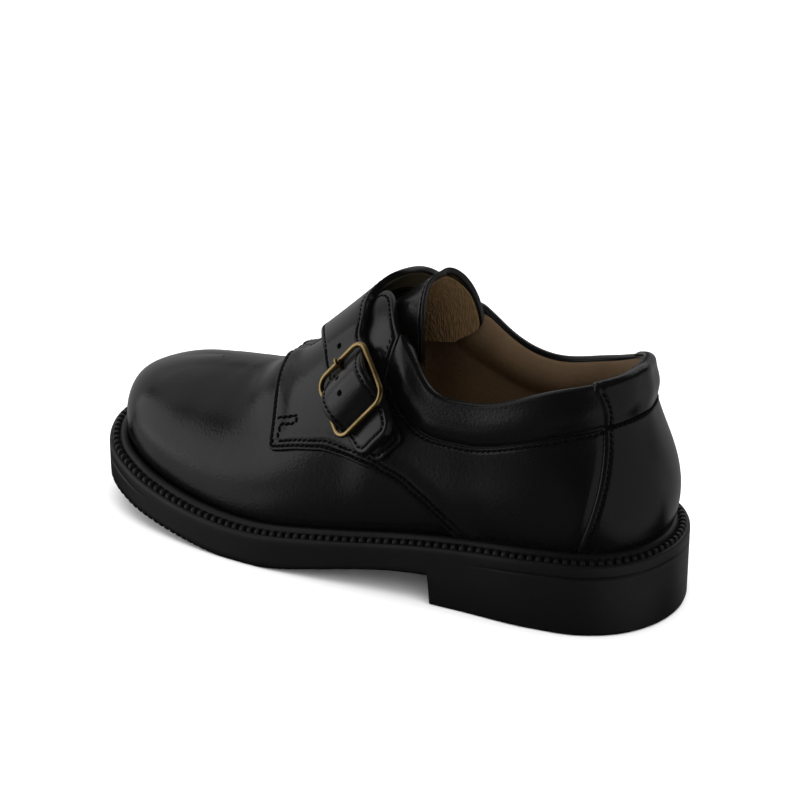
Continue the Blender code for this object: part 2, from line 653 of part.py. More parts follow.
def strap_grid(rows, columns):
    """Smooth sheet through the strap's net: curves along it, a parabola across it."""
    points, normals = strap_net()
    reach = np.r_[0, np.cumsum(np.linalg.norm(np.diff(points[:, 1], axis=0), axis=1))]
    at = np.linspace(0, reach[-1], rows)
    t = np.linspace(0, 1, columns)
    weights = np.stack([(1 - t) * (1 - 2 * t), 4 * t * (1 - t), t * (2 * t - 1)])
    sheets = []
    for net in (points, normals):
        along = np.stack([smooth(at, reach, net[:, a, b]) for a in range(3) for b in range(3)], -1)
        sheets.append(np.einsum("rab,ac->rcb", along.reshape(rows, 3, 3), weights))
    under, out = sheets
    return under, under + STRAP_THICK * out / np.linalg.norm(out, axis=-1)[..., None]


def build_strap():
    strap = slab("strap", *strap_grid(42, 5))
    COLOURS["prong_hole"] = COLOURS["strap"]
    axis = [buckle_point(0.0, HOLE_RUN, height) for height in (-5.0, -2.0, 1.0)]
    cut(strap, tube("prong_hole", axis, HOLE_RADIUS, buckle_axes()[0], 10))
    slab("buckle_tab", *band(TAB, np.linspace(0, 1, 8), np.linspace(0, 1, 6), TAB_THICK))


def build_buckle():
    line = rounded_frame()
    frame = tube("buckle_frame", buckle_point(line[:, 0], line[:, 1], np.zeros(len(line))), WIRE_RADIUS,
                 buckle_axes()[2], 8, True)
    COLOURS["middle_bar"] = COLOURS["buckle_frame"]
    reach = BUCKLE_WIDTH / 2 + 0.2
    ends = buckle_point(np.array([-reach, 0.0, reach]), np.zeros(3), np.full(3, -MIDDLE_BAR_DROP))
    middle_bar = tube("middle_bar", ends, MIDDLE_BAR_RADIUS, buckle_axes()[2], 8)
    modifier = frame.modifiers.new("join", "BOOLEAN")
    modifier.operation = "UNION"
    modifier.solver = "EXACT"
    modifier.object = middle_bar
    middle_bar.hide_render = True
    middle_bar.display_type = "WIRE"
    path = buckle_point(np.zeros(len(PRONG["run"])), PRONG["run"], PRONG["height"])
    tube("buckle_prong", path, PRONG_RADIUS, buckle_axes()[0], 8)


def tongue_arch(across, inset):
    """Upper edge of the tongue: a squarish arch seen from behind, its inner leg standing further back."""
    half, drop, lean, square = [np.where(across > 0, a, b) for a, b in zip(TONGUE_LATERAL, TONGUE_MEDIAL)]
    power = 2 / square
    turn = np.abs(across) ** (1 / power) * np.pi / 2
    x = TONGUE_TOP[0] + lean * np.sin(np.abs(across) * np.pi / 2) ** 1.5
    y = np.sign(across) * (half - inset) * np.sin(turn) ** power
    z = TONGUE_TOP[1] - inset - drop * (1 - np.clip(np.cos(turn), 0, 1) ** power)
    return np.stack([x, y, z], -1)


def build_tongue(under_rows=8, past_rows=6, columns=13):
    """Tongue under the facings: the last's own instep inside the wall, then drawn out to its arched edge,
    narrow between the facings and flared behind them."""
    depth = WALL + 3 * OVERLAY_GAP
    across = np.linspace(1, -1, columns)[None]
    along = np.r_[np.linspace(0, 1, under_rows), np.ones(past_rows)][:, None]
    past = np.r_[np.zeros(under_rows), np.linspace(0, 1, past_rows + 1)[1:]][:, None]
    share = TONGUE_ROOT + (TONGUE_NECK - TONGUE_ROOT) * along + 0.0 * across
    edge = smooth(along, np.array([0.0, 0.5, 1.0]), np.array([0.12, 0.25, 0.40]))
    height = 1 - edge * across
    narrow = 1 - TONGUE_PINCH * np.sin(np.pi * past ** 1.2)
    sheets = []
    for inset in (TONGUE_THICK, 0.0):
        body = saddle(share, height, np.full(share.shape, -depth - inset))
        rim = tongue_arch(across + 0.0 * past, inset)
        sheet = body + (rim - body) * past[..., None]
        sheet[..., 1] *= narrow
        sheets.append(sheet)
    slab("tongue", *sheets)


def main():
    for thing in list(bpy.data.objects):
        bpy.data.objects.remove(thing, do_unlink=True)
    build_outsole()
    build_welt()
    build_insole()
    build_upper()
    build_quarter("quarter_lateral", 1)
    build_quarter("quarter_medial", -1)
    build_counter()
    build_tongue()
    build_strap()
    build_buckle()


main()
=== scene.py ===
"""A left monk strap shoe in black polished leather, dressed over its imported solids.

Lengths are in millimetres, x measured from the heel's back, until a mesh is made in metres about the middle
of the sole's outline.  A place on the last is a ring and a height: ring runs 0 to 1 along the outer side and
0 to -1 along the inner side, from the heel's back to the toe; height runs 0 to 1 from the feather line to the
topline.  A share is a ring without its sign, and a lift is a distance out from the last.
"""
import bmesh
import bpy
import numpy as np
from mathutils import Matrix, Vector


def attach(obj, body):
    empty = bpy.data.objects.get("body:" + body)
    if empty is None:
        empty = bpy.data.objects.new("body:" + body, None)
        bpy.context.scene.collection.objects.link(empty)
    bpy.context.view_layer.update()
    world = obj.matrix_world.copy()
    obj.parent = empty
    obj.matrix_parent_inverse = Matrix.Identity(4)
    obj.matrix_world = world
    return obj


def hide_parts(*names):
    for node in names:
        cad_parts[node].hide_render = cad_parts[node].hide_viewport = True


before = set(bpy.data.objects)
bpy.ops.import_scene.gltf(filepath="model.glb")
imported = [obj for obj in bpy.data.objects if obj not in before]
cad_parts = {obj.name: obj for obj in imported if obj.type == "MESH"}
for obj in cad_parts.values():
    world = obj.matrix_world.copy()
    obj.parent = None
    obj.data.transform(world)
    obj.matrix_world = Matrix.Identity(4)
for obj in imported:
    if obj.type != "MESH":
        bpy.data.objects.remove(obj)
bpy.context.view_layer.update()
MM = 0.001

# Sizes shared with the solids
SOLE_LENGTH = 211.0
BALL_WIDTH = 76.2
HEEL_BREAST = 71.0
BREAST_SLANT = 0.8
TREAD = (132.0, 148.0)
FEATHER_INSET = 7.2
BEAD_HEIGHT = 3.0
WALL = 2.2
LINING_PAD = 2.4
THROAT = 0.635
QUARTER_REAR = 0.13
QUARTER_FRONT = 0.63
FACING_REAR = 0.459
END_BLEND = 0.10
INSOLE_THICK = 2.8
STRAP_THICK = 2.2
STRAP_CROWN = 0.5
TAB_THICK = 1.6
TONGUE_THICK = 2.6
TONGUE_NECK = 0.505
TONGUE_ROOT = 0.628
TONGUE_TOP = (83.5, 100.4)
TONGUE_PINCH = 0.17
BUCKLE_BAR_AXIS = (-0.640, -0.108, 0.761)
BUCKLE_CORNER = 4.2
WIRE_RADIUS = 0.9
MIDDLE_BAR_RADIUS = 0.8
MIDDLE_BAR_DROP = 1.2
PRONG_RADIUS = 0.7
# Sizes near those of the solids: buckle, and half width, drop, lean and squareness of the tongue's edge
BUCKLE_CENTRE = (102.54, 28.15, 65.45)
BUCKLE_RUN_AXIS = (-0.643, 0.595, -0.481)
BUCKLE_WIDTH = 22.5
BUCKLE_RUN = 23.7
TONGUE_LATERAL = (12.7, 28.0, 1.8, 4.4)
TONGUE_MEDIAL = (14.6, 25.0, -7.3, 2.0)
# Sizes that only the scene has: lifts, corner radii, lengths
COLLAR_LIFT = 1.5
FLAP_CORNER = 3.0
FLAP_THREAD = 1.93
END_CORNER = 4.6
TAB_LENGTH = 19.0
TAB_WIDTH = 17.0
TONGUE_REACH = 26
LIP_DEPTH = 4.3
# Share and height of the flap's front lower corner
FLAP_FOOT = (0.623, 0.388)
# Rows of stitches: distance from the edge that they follow
FLAP_ROWS = (1.8, 3.4)
COLLAR_ROW = 1.2
FACING_ROW = 2.3
COUNTER_ROW = 2.2
STRAP_ROW = 2.0
TAB_ROW = 1.9
TONGUE_ROW = 2.5
# Punched holes along the strap, from the tail's end
STRAP_HOLES = (20.4, 27.1, 34.4, 40.8)
# Fineness of the last's grid, and places from an edge where a panel's grid is close enough to round it over
RINGS, LEVELS = 1600, 220
FINE = np.array([0.0, 0.12, 0.28, 0.48, 0.72, 1.0, 1.3, 1.65, 2.05, 2.5, 3.0, 3.6])


def smooth(at, knots, values):
    """Curve through a table's rows: cubic pieces whose slopes come from the neighbouring rows."""
    at = np.clip(np.asarray(at, float), knots[0], knots[-1])
    steps = np.diff(knots)
    rises = np.diff(values) / steps
    slopes = np.empty(len(knots))
    slopes[0], slopes[-1] = rises[0], rises[-1]
    slopes[1:-1] = (rises[:-1] * steps[1:] + rises[1:] * steps[:-1]) / (steps[1:] + steps[:-1])
    i = np.clip(np.searchsorted(knots, at, side="right") - 1, 0, len(knots) - 2)
    h = steps[i]
    t = (at - knots[i]) / h
    ends = (1 + 2 * t) * (1 - t) ** 2 * values[i] + t * t * (3 - 2 * t) * values[i + 1]
    return ends + t * (1 - t) ** 2 * h * slopes[i] + t * t * (t - 1) * h * slopes[i + 1]


def curve(*rows):
    """A smooth curve through pairs of numbers, as a function of the first."""
    knots, values = np.array(rows, float).T
    return lambda at: smooth(at, knots, values)


def table(names, *rows):
    """A short table: a dictionary of named columns."""
    return dict(zip(names.split(), np.array(rows, float).T))


# Sole outline: share of the length, then half widths as shares of the ball width
OUTLINE = table(
    "station lateral medial",
    (0, 0, 0), (0.0123, 0.171, -0.171), (0.0455, 0.310, -0.310), (0.0995, 0.407, -0.407),
    (0.1706, 0.446, -0.441), (0.2938, 0.454, -0.381), (0.4171, 0.467, -0.335), (0.5308, 0.496, -0.387),
    (0.6351, 0.512, -0.466), (0.7251, 0.497, -0.488), (0.8152, 0.453, -0.461), (0.8934, 0.383, -0.399),
    (0.9502, 0.280, -0.318), (0.9853, 0.131, -0.203), (1, -0.052, -0.052))
# Along the sole: height of its top edge, height of its arch and toe spring, depth of the groove under its lip
sole_top = curve(
    (0, 23.5), (36, 22.3), (71, 19), (105, 13.8), (138, 10.3), (168, 12.6), (190, 17.2), (211, 23.2))
arch = curve(
    (71, 10.2), (84, 8.8), (98, 6.4), (112, 3.5), (124, 1.1), (TREAD[0], 0), (TREAD[1], 0), (168, 2.3),
    (190, 6.2), (211, 11.5))
lip_groove = curve(
    (0, 0.7), (12, 1), (38, 0.8), (60, 0), (70, 0), (168, 0), (178, 0), (200, 1), (211, 1))
# Side of the sole: depth under its top edge and how far it is rounded in
SOLE_SIDE = table(
    "depth inset",
    (9, 0), (7, 0), (5.2, 0), (4.85, 0), (4.6, 0), (4.4, 0), (4.2, 0), (4, 0), (3.75, 0), (3.4, 0), (2.4, 0),
    (1.3, 0.03), (0.75, 0.12), (0.35, 0.3), (0.1, 0.6), (0, 1), (0.05, 1.5), (0.5, 2.2))
# Section of the welt from its outer foot over ledge and bead: inset, height and how far a valley sinks it
WELT = table(
    "inset high sunk",
    (1.3, 0.2, 0), (1.2, 0.9, 0.6), (1.25, 1.5, 1.1), (1.4, 2, 1.45), (1.75, 2.35, 1.6), (2.25, 2.5, 1.6),
    (2.8, 2.45, 1.5), (3.2, 2.2, 1.1), (3.5, 1.8, 0.5), (3.7, 1.65, 0.1), (3.85, 2, 0), (4.15, 2.6, 0),
    (4.6, 3, 0), (5.2, 3.2, 0), (5.8, 3.15, 0), (6.4, 2.95, 0), (6.9, 2.5, 0), (7.15, 1.9, 0), (7.2, 1, 0),
    (7, 0.2, 0))
# Height of the last's crest along x
crest = curve(
    (88, 98), (96, 93.6), (104, 87.8), (112, 81), (120, 73.8), (128, 66.4), (136, 60), (144, 56.2),
    (152, 54.6), (160, 53.6), (168, 52.6), (178, 50.6))
# Ribs of the last: upper end x y z, handle at the foot out and rise, handle at the top reach, drop and level
RIB_COLUMNS = "share x y z out rise reach drop level"
HEEL_RIB = (0, 16, 0, 79.4, 7, 22, -2, 20, 0)
VAMP_RIBS = (
    (0.70, 143, -2, 56.6, 2, 17, 18, 0, 1), (0.79, 152, -3, 54.6, 3, 17, 20, 0, 1),
    (0.88, 160, -3.5, 53.6, 4.5, 17, 24, 0, 1), (0.95, 166, -4, 52.9, 5.5, 17, 29, 0, 1),
    (1, 169, -4, 52.4, 6, 17, 32, 0, 1))
LATERAL_RIBS = table(
    RIB_COLUMNS, HEEL_RIB,
    (0.09, 20, 13, 78.6, 7, 21, 0, 20, 0), (0.20, 36, 21.5, 75, 5.5, 20, 2, 20, 0),
    (0.32, 62, 23.5, 66.5, 4, 16, 3, 17, 0), (0.40, 79, 22, 69.5, 3, 16, 4, 17, 0),
    (0.44, 86.5, 17.5, 79.5, 3, 17, 7, 16, 0), (0.47, 91, 9.5, 90, 3, 18, 12, 9, 0.3),
    (0.50, 97, 0, 93, 2.5, 19, 16, 0, 1), (0.56, 114, -0.3, 79.2, 2, 19, 17, 0, 1),
    (0.62, 130, -1, 64.7, 1.8, 18, 17.5, 0, 1), *VAMP_RIBS)
MEDIAL_RIBS = table(
    RIB_COLUMNS, HEEL_RIB,
    (0.09, 20, -13, 77.3, 7, 21, 0, 20, 0), (0.20, 36, -21.5, 70.4, 5.5, 20, 2, 19, 0),
    (0.30, 56, -22.5, 66.6, 4, 17, 3, 17, 0), (0.38, 69.5, -20.5, 72.3, 3, 18, 4, 18, 0),
    (0.43, 80, -16, 83, 3, 20, 8, 16, 0), (0.47, 90, -8.5, 91, 3, 21, 16, 6, 0.3),
    (0.50, 97, 0, 93, 2.5, 21, 21, 0, 1), (0.56, 114, -0.3, 79.2, 2, 20, 20, 0, 1),
    (0.62, 130, -1, 64.7, 1.8, 18, 18.5, 0, 1), *VAMP_RIBS)
# By share: height where the leather ends, of the seam under the padded collar and of the flap's lower edge
leather_end = curve(
    (0, 1), (0.42, 1), (0.44, 0.955), (0.455, 0.90), (0.47, 0.865), (0.485, 0.865), (0.505, 0.90),
    (0.53, 0.935), (0.57, 0.955), (0.605, 0.975), (THROAT, 1), (1, 1))
collar_seam = curve(
    (0, 0.750), (0.12, 0.765), (0.165, 0.750), (0.21, 0.731), (0.30, 0.728), (0.39, 0.738), (0.42, 0.718),
    (0.44, 0.706), (0.46, 0.700), (0.70, 0.700))
flap_lower = curve(
    (0, -1), (0.25, -0.31), (0.318, 0), (0.343, 0.113), (0.375, 0.245), (0.408, 0.335), (0.44, 0.34),
    (0.473, 0.312), (0.508, 0.306), (0.54, 0.331), (0.573, 0.352), (0.613, 0.366), (0.68, 0.39))
# By height: share of the flap's front edge and of the counter's edge
flap_front = curve((0, FLAP_FOOT[0]), FLAP_FOOT[::-1], (0.58, 0.633), (0.78, 0.650), (1, 0.668))
counter_edge = curve(
    (0, 0.144), (0.213, 0.130), (0.463, 0.118), (0.694, 0.113), (0.80, 0.1145), (0.88, 0.118),
    (0.95, 0.1255), (1, 0.133))
# Strap in the buckle: run along it, edges along the bars, height of its underside, front edge's extra height
STRAP_TAIL = table(
    "run rear front height tilt",
    (20, 6.4, -9.8, -6.1, 0), (15.5, 7.4, -9.9, -5.2, 0), (11.2, 8.6, -10, -4.2, 0),
    (8.4, 9.3, -10.2, -2.2, 0), (4.8, 9.9, -10.5, 0.4, 0), (0, 10.1, -10.6, 1.7, 0),
    (-5, 10.1, -10.3, 0.2, 0), (-9.2, 10.2, -9.5, -2.8, 0.1), (-11.2, 10.4, -8.8, -3.95, 0.3),
    (-14.5, 10.4, -8, -4, 0.9))
# Strap over the instep and tab under the buckle: shares, heights and lifts of their rear and front edges
BAND_COLUMNS = "rear_share rear_height front_share front_height rear_lift front_lift"
STRAP_OVER = table(
    BAND_COLUMNS,
    (0.516, 0.765, 0.566, 0.735, 2.2, 2.6), (0.526, 0.86, 0.583, 0.845, 1.9, 2.2),
    (0.529, 0.95, 0.598, 0.95, 1.8, 2.3), (0.511, 1.05, 0.607, 1.05, 2.6, 2.3),
    (0.486, 1.14, 0.614, 1.14, 6, 2.4), (0.470, 1.21, 0.618, 1.24, 9.5, 2.3),
    (0.461, 1.28, 0.618, 1.33, 9.2, 2.2), (0.461, 1.37, 0.617, 1.42, 6, 2.1),
    (0.469, 1.47, 0.615, 1.51, 2.4, 2), (0.482, 1.58, 0.612, 1.60, 2.1, 2.1))
TAB = table(
    BAND_COLUMNS + " run",
    (0.406, 0.640, 0.442, 0.372, 2.3, 1.9, 0), (0.438, 0.648, 0.474, 0.400, 2.2, 1.9, 0.5),
    (0.468, 0.648, 0.506, 0.460, 2, 1.9, 1))
PRONG = table(
    "run height",
    (0, -2.9), (-4.5, -2.9), (-8, -4), (-9, -3.4), (-9.25, -1.4), (-9.4, 0.7), (-10.2, 1.8), (-12.3, 1.85))


def lengths(points):
    """Length along a line of points up to each of them."""
    return np.r_[0, np.cumsum(np.linalg.norm(np.diff(points, axis=0), axis=-1))]


def along_line(at, reach, points):
    """A line of points read at lengths along it, straight between its own points."""
    return np.stack([np.interp(at, reach, points[:, k]) for k in range(points.shape[1])], -1)


def unit(vectors):
    """Vectors at length one."""
    return vectors / np.maximum(np.linalg.norm(vectors, axis=-1, keepdims=True), 1e-9)


def ease(at, start, stop):
    """0 before start, 1 after stop, and the cubic 3t2 - 2t3 between them."""
    t = np.clip((at - start) / (stop - start), 0, 1)
    return t * t * (3 - 2 * t)


def outline_sides():
    """Outer and inner halves of the sole's outline, heel to toe, with outward directions: a closed smooth
    curve through the table, read evenly along its length."""
    x = OUTLINE["station"] * SOLE_LENGTH
    y = np.r_[OUTLINE["lateral"], OUTLINE["medial"][-2:0:-1]] * BALL_WIDTH
    loop = np.c_[np.r_[x, x[-2:0:-1]], y]
    wrap = np.r_[loop[-3:], loop, loop[:4]]
    reach = lengths(wrap)
    heel, toe, heel_again = reach[3], reach[2 + len(x)], reach[3 + len(loop)]
    sides = []
    for start in (heel, heel_again):
        at = np.linspace(start, toe, 1201)
        points = np.stack([smooth(at, reach, wrap[:, k]) for k in (0, 1)], -1)
        run = np.gradient(points, axis=0) * np.sign(toe - start)
        sides.append((points, unit(np.stack([-run[:, 1], run[:, 0]], -1))))
    return sides


SIDES = outline_sides()
MIDDLE = (SOLE_LENGTH / 2, (SIDES[0][0][:, 1].max() + SIDES[1][0][:, 1].min()) / 2, 0.0)


def sole_bottom(x):
    """Level heel up to the breast, then the arch, tread and toe spring."""
    arched = np.where((x > TREAD[0]) & (x < TREAD[1]), 0.0, arch(x))
    return np.where(x < HEEL_BREAST + 0.4 * BREAST_SLANT, 0.0, arched)


def rib_points(side, share, height):
    """Cubic rib from its foot on the feather line, bulging out by its handles, up to the topline or crest."""
    rows = (LATERAL_RIBS, MEDIAL_RIBS)[side]
    line, out = SIDES[side]
    line = line - out * FEATHER_INSET
    reach = lengths(line)
    foot, away = [along_line(share * reach[-1], reach, grid) for grid in (line, out)]
    foot = np.concatenate([foot, (sole_top(foot[..., 0]) + BEAD_HEIGHT)[..., None]], -1)
    row = {name: smooth(share, rows["share"], rows[name]) for name in rows}
    top = np.stack([row["x"], row["y"], row["z"]], -1)
    back = unit(foot[..., :2] - top[..., :2])
    slope = (crest(row["x"] + 1) - crest(row["x"] - 1)) / 2 * np.clip(row["level"], 0, 1)
    low = foot + np.concatenate([away * row["out"][..., None], row["rise"][..., None]], -1)
    fall = slope * back[..., 0] * row["reach"] - row["drop"]
    high = top + np.concatenate([back * row["reach"][..., None], fall[..., None]], -1)
    t = height[..., None]
    return foot * (1 - t) ** 3 + 3 * low * t * (1 - t) ** 2 + 3 * high * t * t * (1 - t) + top * t ** 3


def last_grids():
    """The last on a fine grid of ring and height, rounded along the ring by a short binomial average; its
    outward directions, averaged across the crest; and the millimetres in one unit of ring and of height."""
    ring, height = np.broadcast_arrays(
        np.linspace(-1, 1, RINGS, endpoint=False)[:, None], np.linspace(0, 1, LEVELS + 1)[None])
    sides = [rib_points(side, np.abs(ring), height) for side in (0, 1)]
    points = np.where((ring >= 0)[..., None], *sides)
    for _ in range(3):
        points = (np.roll(points, 6, 0) + 2 * points + np.roll(points, -6, 0)) / 4
    along = (np.roll(points, -1, 0) - np.roll(points, 1, 0)) * RINGS / 4
    up = np.gradient(points, axis=1) * LEVELS
    out = unit(np.cross(up, along))
    other = out[-np.arange(RINGS) % RINGS, -1]
    out[:, -1] = np.where(np.abs(ring[:, :1]) > 0.49, unit(out[:, -1] + other), out[:, -1])
    return points, out, np.linalg.norm(along, axis=-1)[..., None], np.linalg.norm(up, axis=-1)[..., None]


LAST, OUT, RING_MM, HEIGHT_MM = last_grids()


def look(grid, ring, height):
    """A fine grid read between its points: weights by the fractions of ring and height."""
    ring, height = np.broadcast_arrays(np.asarray(ring, float), np.asarray(height, float))
    a = (ring + 1) % 2 * RINGS / 2
    b = np.clip(height, 0, 1) * LEVELS
    i = np.floor(a).astype(int)
    j = np.minimum(np.floor(b).astype(int), LEVELS - 1)
    s, t = (a - i)[..., None], (b - j)[..., None]
    i, k = i % RINGS, (i + 1) % RINGS
    low = grid[i, j] * (1 - s) + grid[k, j] * s
    high = grid[i, j + 1] * (1 - s) + grid[k, j + 1] * s
    return low * (1 - t) + high * t


def outward(ring, height):
    """Outward direction of the last."""
    return unit(look(OUT, ring, height))


def last(ring, height, lift):
    """A point of the last moved out by a lift."""
    return look(LAST, ring, height) + outward(ring, height) * np.asarray(lift, float)[..., None]


def saddle(share, height):
    """Ring and height of a place over the instep: 0 to 1 up the outer side, 1 to 2 down the inner side."""
    return np.where(height <= 1, share, -share), np.where(height <= 1, height, 2 - height)


def mm_ring(ring, height):
    """Millimetres in one unit of ring."""
    return look(RING_MM, ring, height)[..., 0]


def mm_height(ring, height):
    """Millimetres in one unit of height."""
    return look(HEIGHT_MM, ring, height)[..., 0]


def quads(rows, columns, wrap_rows=False, wrap_columns=False, first=0):
    """Four-cornered faces of a grid of points numbered row by row."""
    i = np.arange(rows if wrap_rows else rows - 1)[:, None]
    j = np.arange(columns if wrap_columns else columns - 1)[None]
    a, b = i % rows * columns, (i + 1) % rows * columns
    c, d = j % columns, (j + 1) % columns
    return first + np.stack([a + c, b + c, b + d, a + d], -1).reshape(-1, 4)


def capped(rows, columns, first=0):
    """Faces of an open tube of points, each of its two ends closed by one face."""
    end = first + np.arange(columns)
    return [*quads(rows, columns, wrap_columns=True, first=first), end, end + (rows - 1) * columns]


def stand(name, data):
    """A new object in the scene that shows a mesh, a lamp or a camera."""
    thing = bpy.data.objects.new(name, data)
    bpy.context.scene.collection.objects.link(thing)
    return thing


def piece(name, points, faces, finish, node=None, sharp=50):
    """A mesh from millimetre points, welded, faces outward, riding on the shoe, standing for a CAD node."""
    mesh = bpy.data.meshes.new(name)
    mesh.from_pydata((np.reshape(points, (-1, 3)) - MIDDLE) * MM, [], [list(face) for face in faces])
    form = bmesh.new()
    form.from_mesh(mesh)
    bmesh.ops.remove_doubles(form, verts=form.verts, dist=2e-6)
    bmesh.ops.dissolve_degenerate(form, edges=form.edges, dist=1e-7)
    bmesh.ops.recalc_face_normals(form, faces=form.faces)
    form.to_mesh(mesh)
    form.free()
    mesh.shade_smooth()
    mesh.set_sharp_from_angle(angle=np.radians(sharp))
    mesh.materials.append(finish[0])
    thing = stand(name, mesh)
    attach(thing, "root")
    if node:
        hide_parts(node)
    return thing


def slab(name, under, over, finish, node=None):
    """A closed sheet between two grids of points, walled round their borders."""
    rows, columns = under.shape[:2]
    count = rows * columns
    border = np.r_[
        np.arange(columns), np.arange(1, rows) * columns + columns - 1,
        (rows - 1) * columns + np.arange(columns - 2, -1, -1), np.arange(rows - 2, 0, -1) * columns]
    wall = np.stack([border, np.roll(border, -1), np.roll(border, -1) + count, border + count], -1)
    faces = np.r_[quads(rows, columns), quads(rows, columns, first=count), wall]
    return piece(name, np.r_[under.reshape(-1, 3), over.reshape(-1, 3)], faces, finish, node)


def spread(length, step):
    """Places from 0 to 1 over a length in millimetres, close together near both ends."""
    middle = np.linspace(FINE[-1], length - FINE[-1], max(3, int((length - 2 * FINE[-1]) / step)))[1:-1]
    return np.r_[FINE, middle, length - FINE[::-1]] / length


def rolled(distance, deep, wide):
    """Fall of a cut edge that is rounded over: a quarter ellipse within wide of the edge."""
    t = np.clip(1 - distance / wide, 0, 1)
    return deep * (1 - np.sqrt(1 - t * t))


def pressed(distance, inset, deep, wide=0.75):
    """Furrow drawn in by a row of stitches: a bell curve about its inset from the edge."""
    return deep * np.exp(-((distance - inset) / wide * 2) ** 2)


def tube(path, radius, across, sides, closed=False):
    """Points of a round wire along a path: circles in the plane across its run; across is never along it."""
    run = unit(np.roll(path, -1, 0) - np.roll(path, 1, 0) if closed else np.gradient(path, axis=0))
    one = unit(np.cross(run, across))
    two = np.cross(run, one)
    turn = np.linspace(0, 2 * np.pi, sides, endpoint=False)[:, None]
    radius = np.broadcast_to(radius, len(path))[:, None, None]
    return path[:, None] + radius * (np.cos(turn) * one[:, None] + np.sin(turn) * two[:, None])


def stitches(lines, pitch=1.9, long=2.15, wide=0.86, high=0.76, askew=0.36, tip=0.16):
    """Beads of thread end to end along lines of points with outward directions: each a long egg, half sunk,
    a little askew as in a twisted seam and tipped down at both ends.  Real thread is about 0.6 mm thick, too
    fine to show, so it is drawn coarser."""
    lay = np.linspace(-1, 1, 7)[:, None]
    turn = np.linspace(0, 2 * np.pi, 8, endpoint=False)[None]
    girth = np.sqrt(np.maximum(1 - np.abs(lay) ** 2.6, 0)) / 2
    bead = np.stack([lay * long / 2 + 0 * turn, girth * wide * np.cos(turn),
                     girth * high * np.sin(turn) - tip * lay ** 2], -1).reshape(-1, 3)
    one = quads(lay.size, turn.size, wrap_columns=True)
    points, faces, count = [], [], 0
    for path, away in lines:
        reach = lengths(path)
        number = max(1, int(reach[-1] / pitch))
        at = (np.arange(number) + 0.5) * reach[-1] / number
        spot, before, after = [along_line(at + step * pitch, reach, path) for step in (0, -0.45, 0.45)]
        out = unit(along_line(at, reach, away))
        run = unit(after - before)
        side = unit(np.cross(out, run))
        axes = np.stack([unit(run + askew * side), unit(side - askew * run), out], 1)
        points.append((spot[:, None] + bead @ axes).reshape(-1, 3))
        faces.append((one + len(bead) * np.arange(number)[:, None, None]).reshape(-1, 4) + count)
        count += len(bead) * number
    return np.concatenate(points), np.concatenate(faces)


def srgb(code):
    """A linear colour from a sRGB hex code."""
    value = np.array([int(code[k:k + 2], 16) for k in (1, 3, 5)]) / 255
    linear = np.where(value <= 0.04045, value / 12.92, ((value + 0.055) / 1.055) ** 2.4)
    return (*linear.tolist(), 1.0)


def add(tree, kind, inputs=(), **settings):
    """One node with its settings; inputs are set by value, or linked where the value is a node's socket."""
    made = tree.nodes.new(kind)
    for key, value in settings.items():
        setattr(made, key, value)
    for key, value in dict(inputs).items():
        if isinstance(value, bpy.types.NodeSocket):
            tree.links.new(value, made.inputs[key])
        else:
            made.inputs[key].default_value = value
    return made


# Clouding of a finish, as wax, wear or patina leaves it: patches about 11 mm across
CLOUDS_A_METRE = 90.0


def finish(name, slot, colour, rough, grain, deep, spec=0.5, cloud=0.05, metal=0.0, dark=None, long=1.0):
    """A procedural material and its slot: a base colour clouded towards a darker one, roughness that wanders
    by cloud, and a cellular grain of so many millimetres as bump, drawn out upright by long.  What is the
    same all over is set on the shader itself."""
    material = bpy.data.materials.new(name)
    material.use_nodes = True
    tree = material.node_tree
    tree.nodes.clear()
    place = add(tree, "ShaderNodeTexCoord").outputs["Object"]
    stretch = add(tree, "ShaderNodeVectorMath", {0: place, 1: (1.0, 1.0, 1 / long)}, operation="MULTIPLY")
    pile = stretch.outputs[0]
    surface = {"Base Color": srgb(colour), "Roughness": rough, "Specular IOR Level": spec, "Metallic": metal}
    if dark or cloud:
        clouds = add(tree, "ShaderNodeTexNoise", {
            "Vector": pile, "Scale": CLOUDS_A_METRE, "Detail": 4.0, "Roughness": 0.6}).outputs["Fac"]
    if dark:
        tint = add(tree, "ShaderNodeMix", {0: clouds, 6: srgb(colour), 7: srgb(dark)}, data_type="RGBA")
        surface["Base Color"] = tint.outputs[2]
    if cloud:
        surface["Roughness"] = add(tree, "ShaderNodeMapRange", {
            "Value": clouds, "From Min": 0.3, "From Max": 0.7, "To Min": rough - cloud,
            "To Max": rough + cloud}).outputs[0]
    if deep:
        cells = add(
            tree, "ShaderNodeTexVoronoi", {"Vector": pile, "Scale": 1 / (grain * MM)}, feature="SMOOTH_F1")
        surface["Normal"] = add(tree, "ShaderNodeBump", {
            "Height": cells.outputs["Distance"], "Strength": deep, "Distance": MM}).outputs["Normal"]
    shader = add(tree, "ShaderNodeBsdfPrincipled", surface)
    add(tree, "ShaderNodeOutputMaterial", {"Surface": shader.outputs["BSDF"]})
    return material, slot


# Dyed, waxed and brushed calf: deep black under a clear shine.  Its pores, 0.2 mm, are drawn 0.7 mm to show
CALF = finish("polished black calf leather", "upper", "#070707", rough=0.25, grain=0.7, deep=0.05, cloud=0.03)
# Thinner hide stretched over foam: the same black, a little duller, its pores drawn coarser too
SOFT = finish("soft black collar leather", "upper", "#070707", rough=0.3, grain=0.8, deep=0.05, cloud=0.03)
# Rubber from an etched mould: satin black that spreads the light.  The etching, 0.1 mm, is drawn 0.5 mm
RUBBER = finish(
    "satin black moulded rubber", "outsole", "#0A0A0B", rough=0.45, grain=0.5, deep=0.03, cloud=0.04)
# Undyed pigskin: dull tan with darker clouds and bristle pits about a millimetre apart
TAN = finish(
    "tan pigskin lining", "upper", "#513F2C", rough=0.7, grain=1.1, deep=0.08, spec=0.2, dark="#3A2D1E")
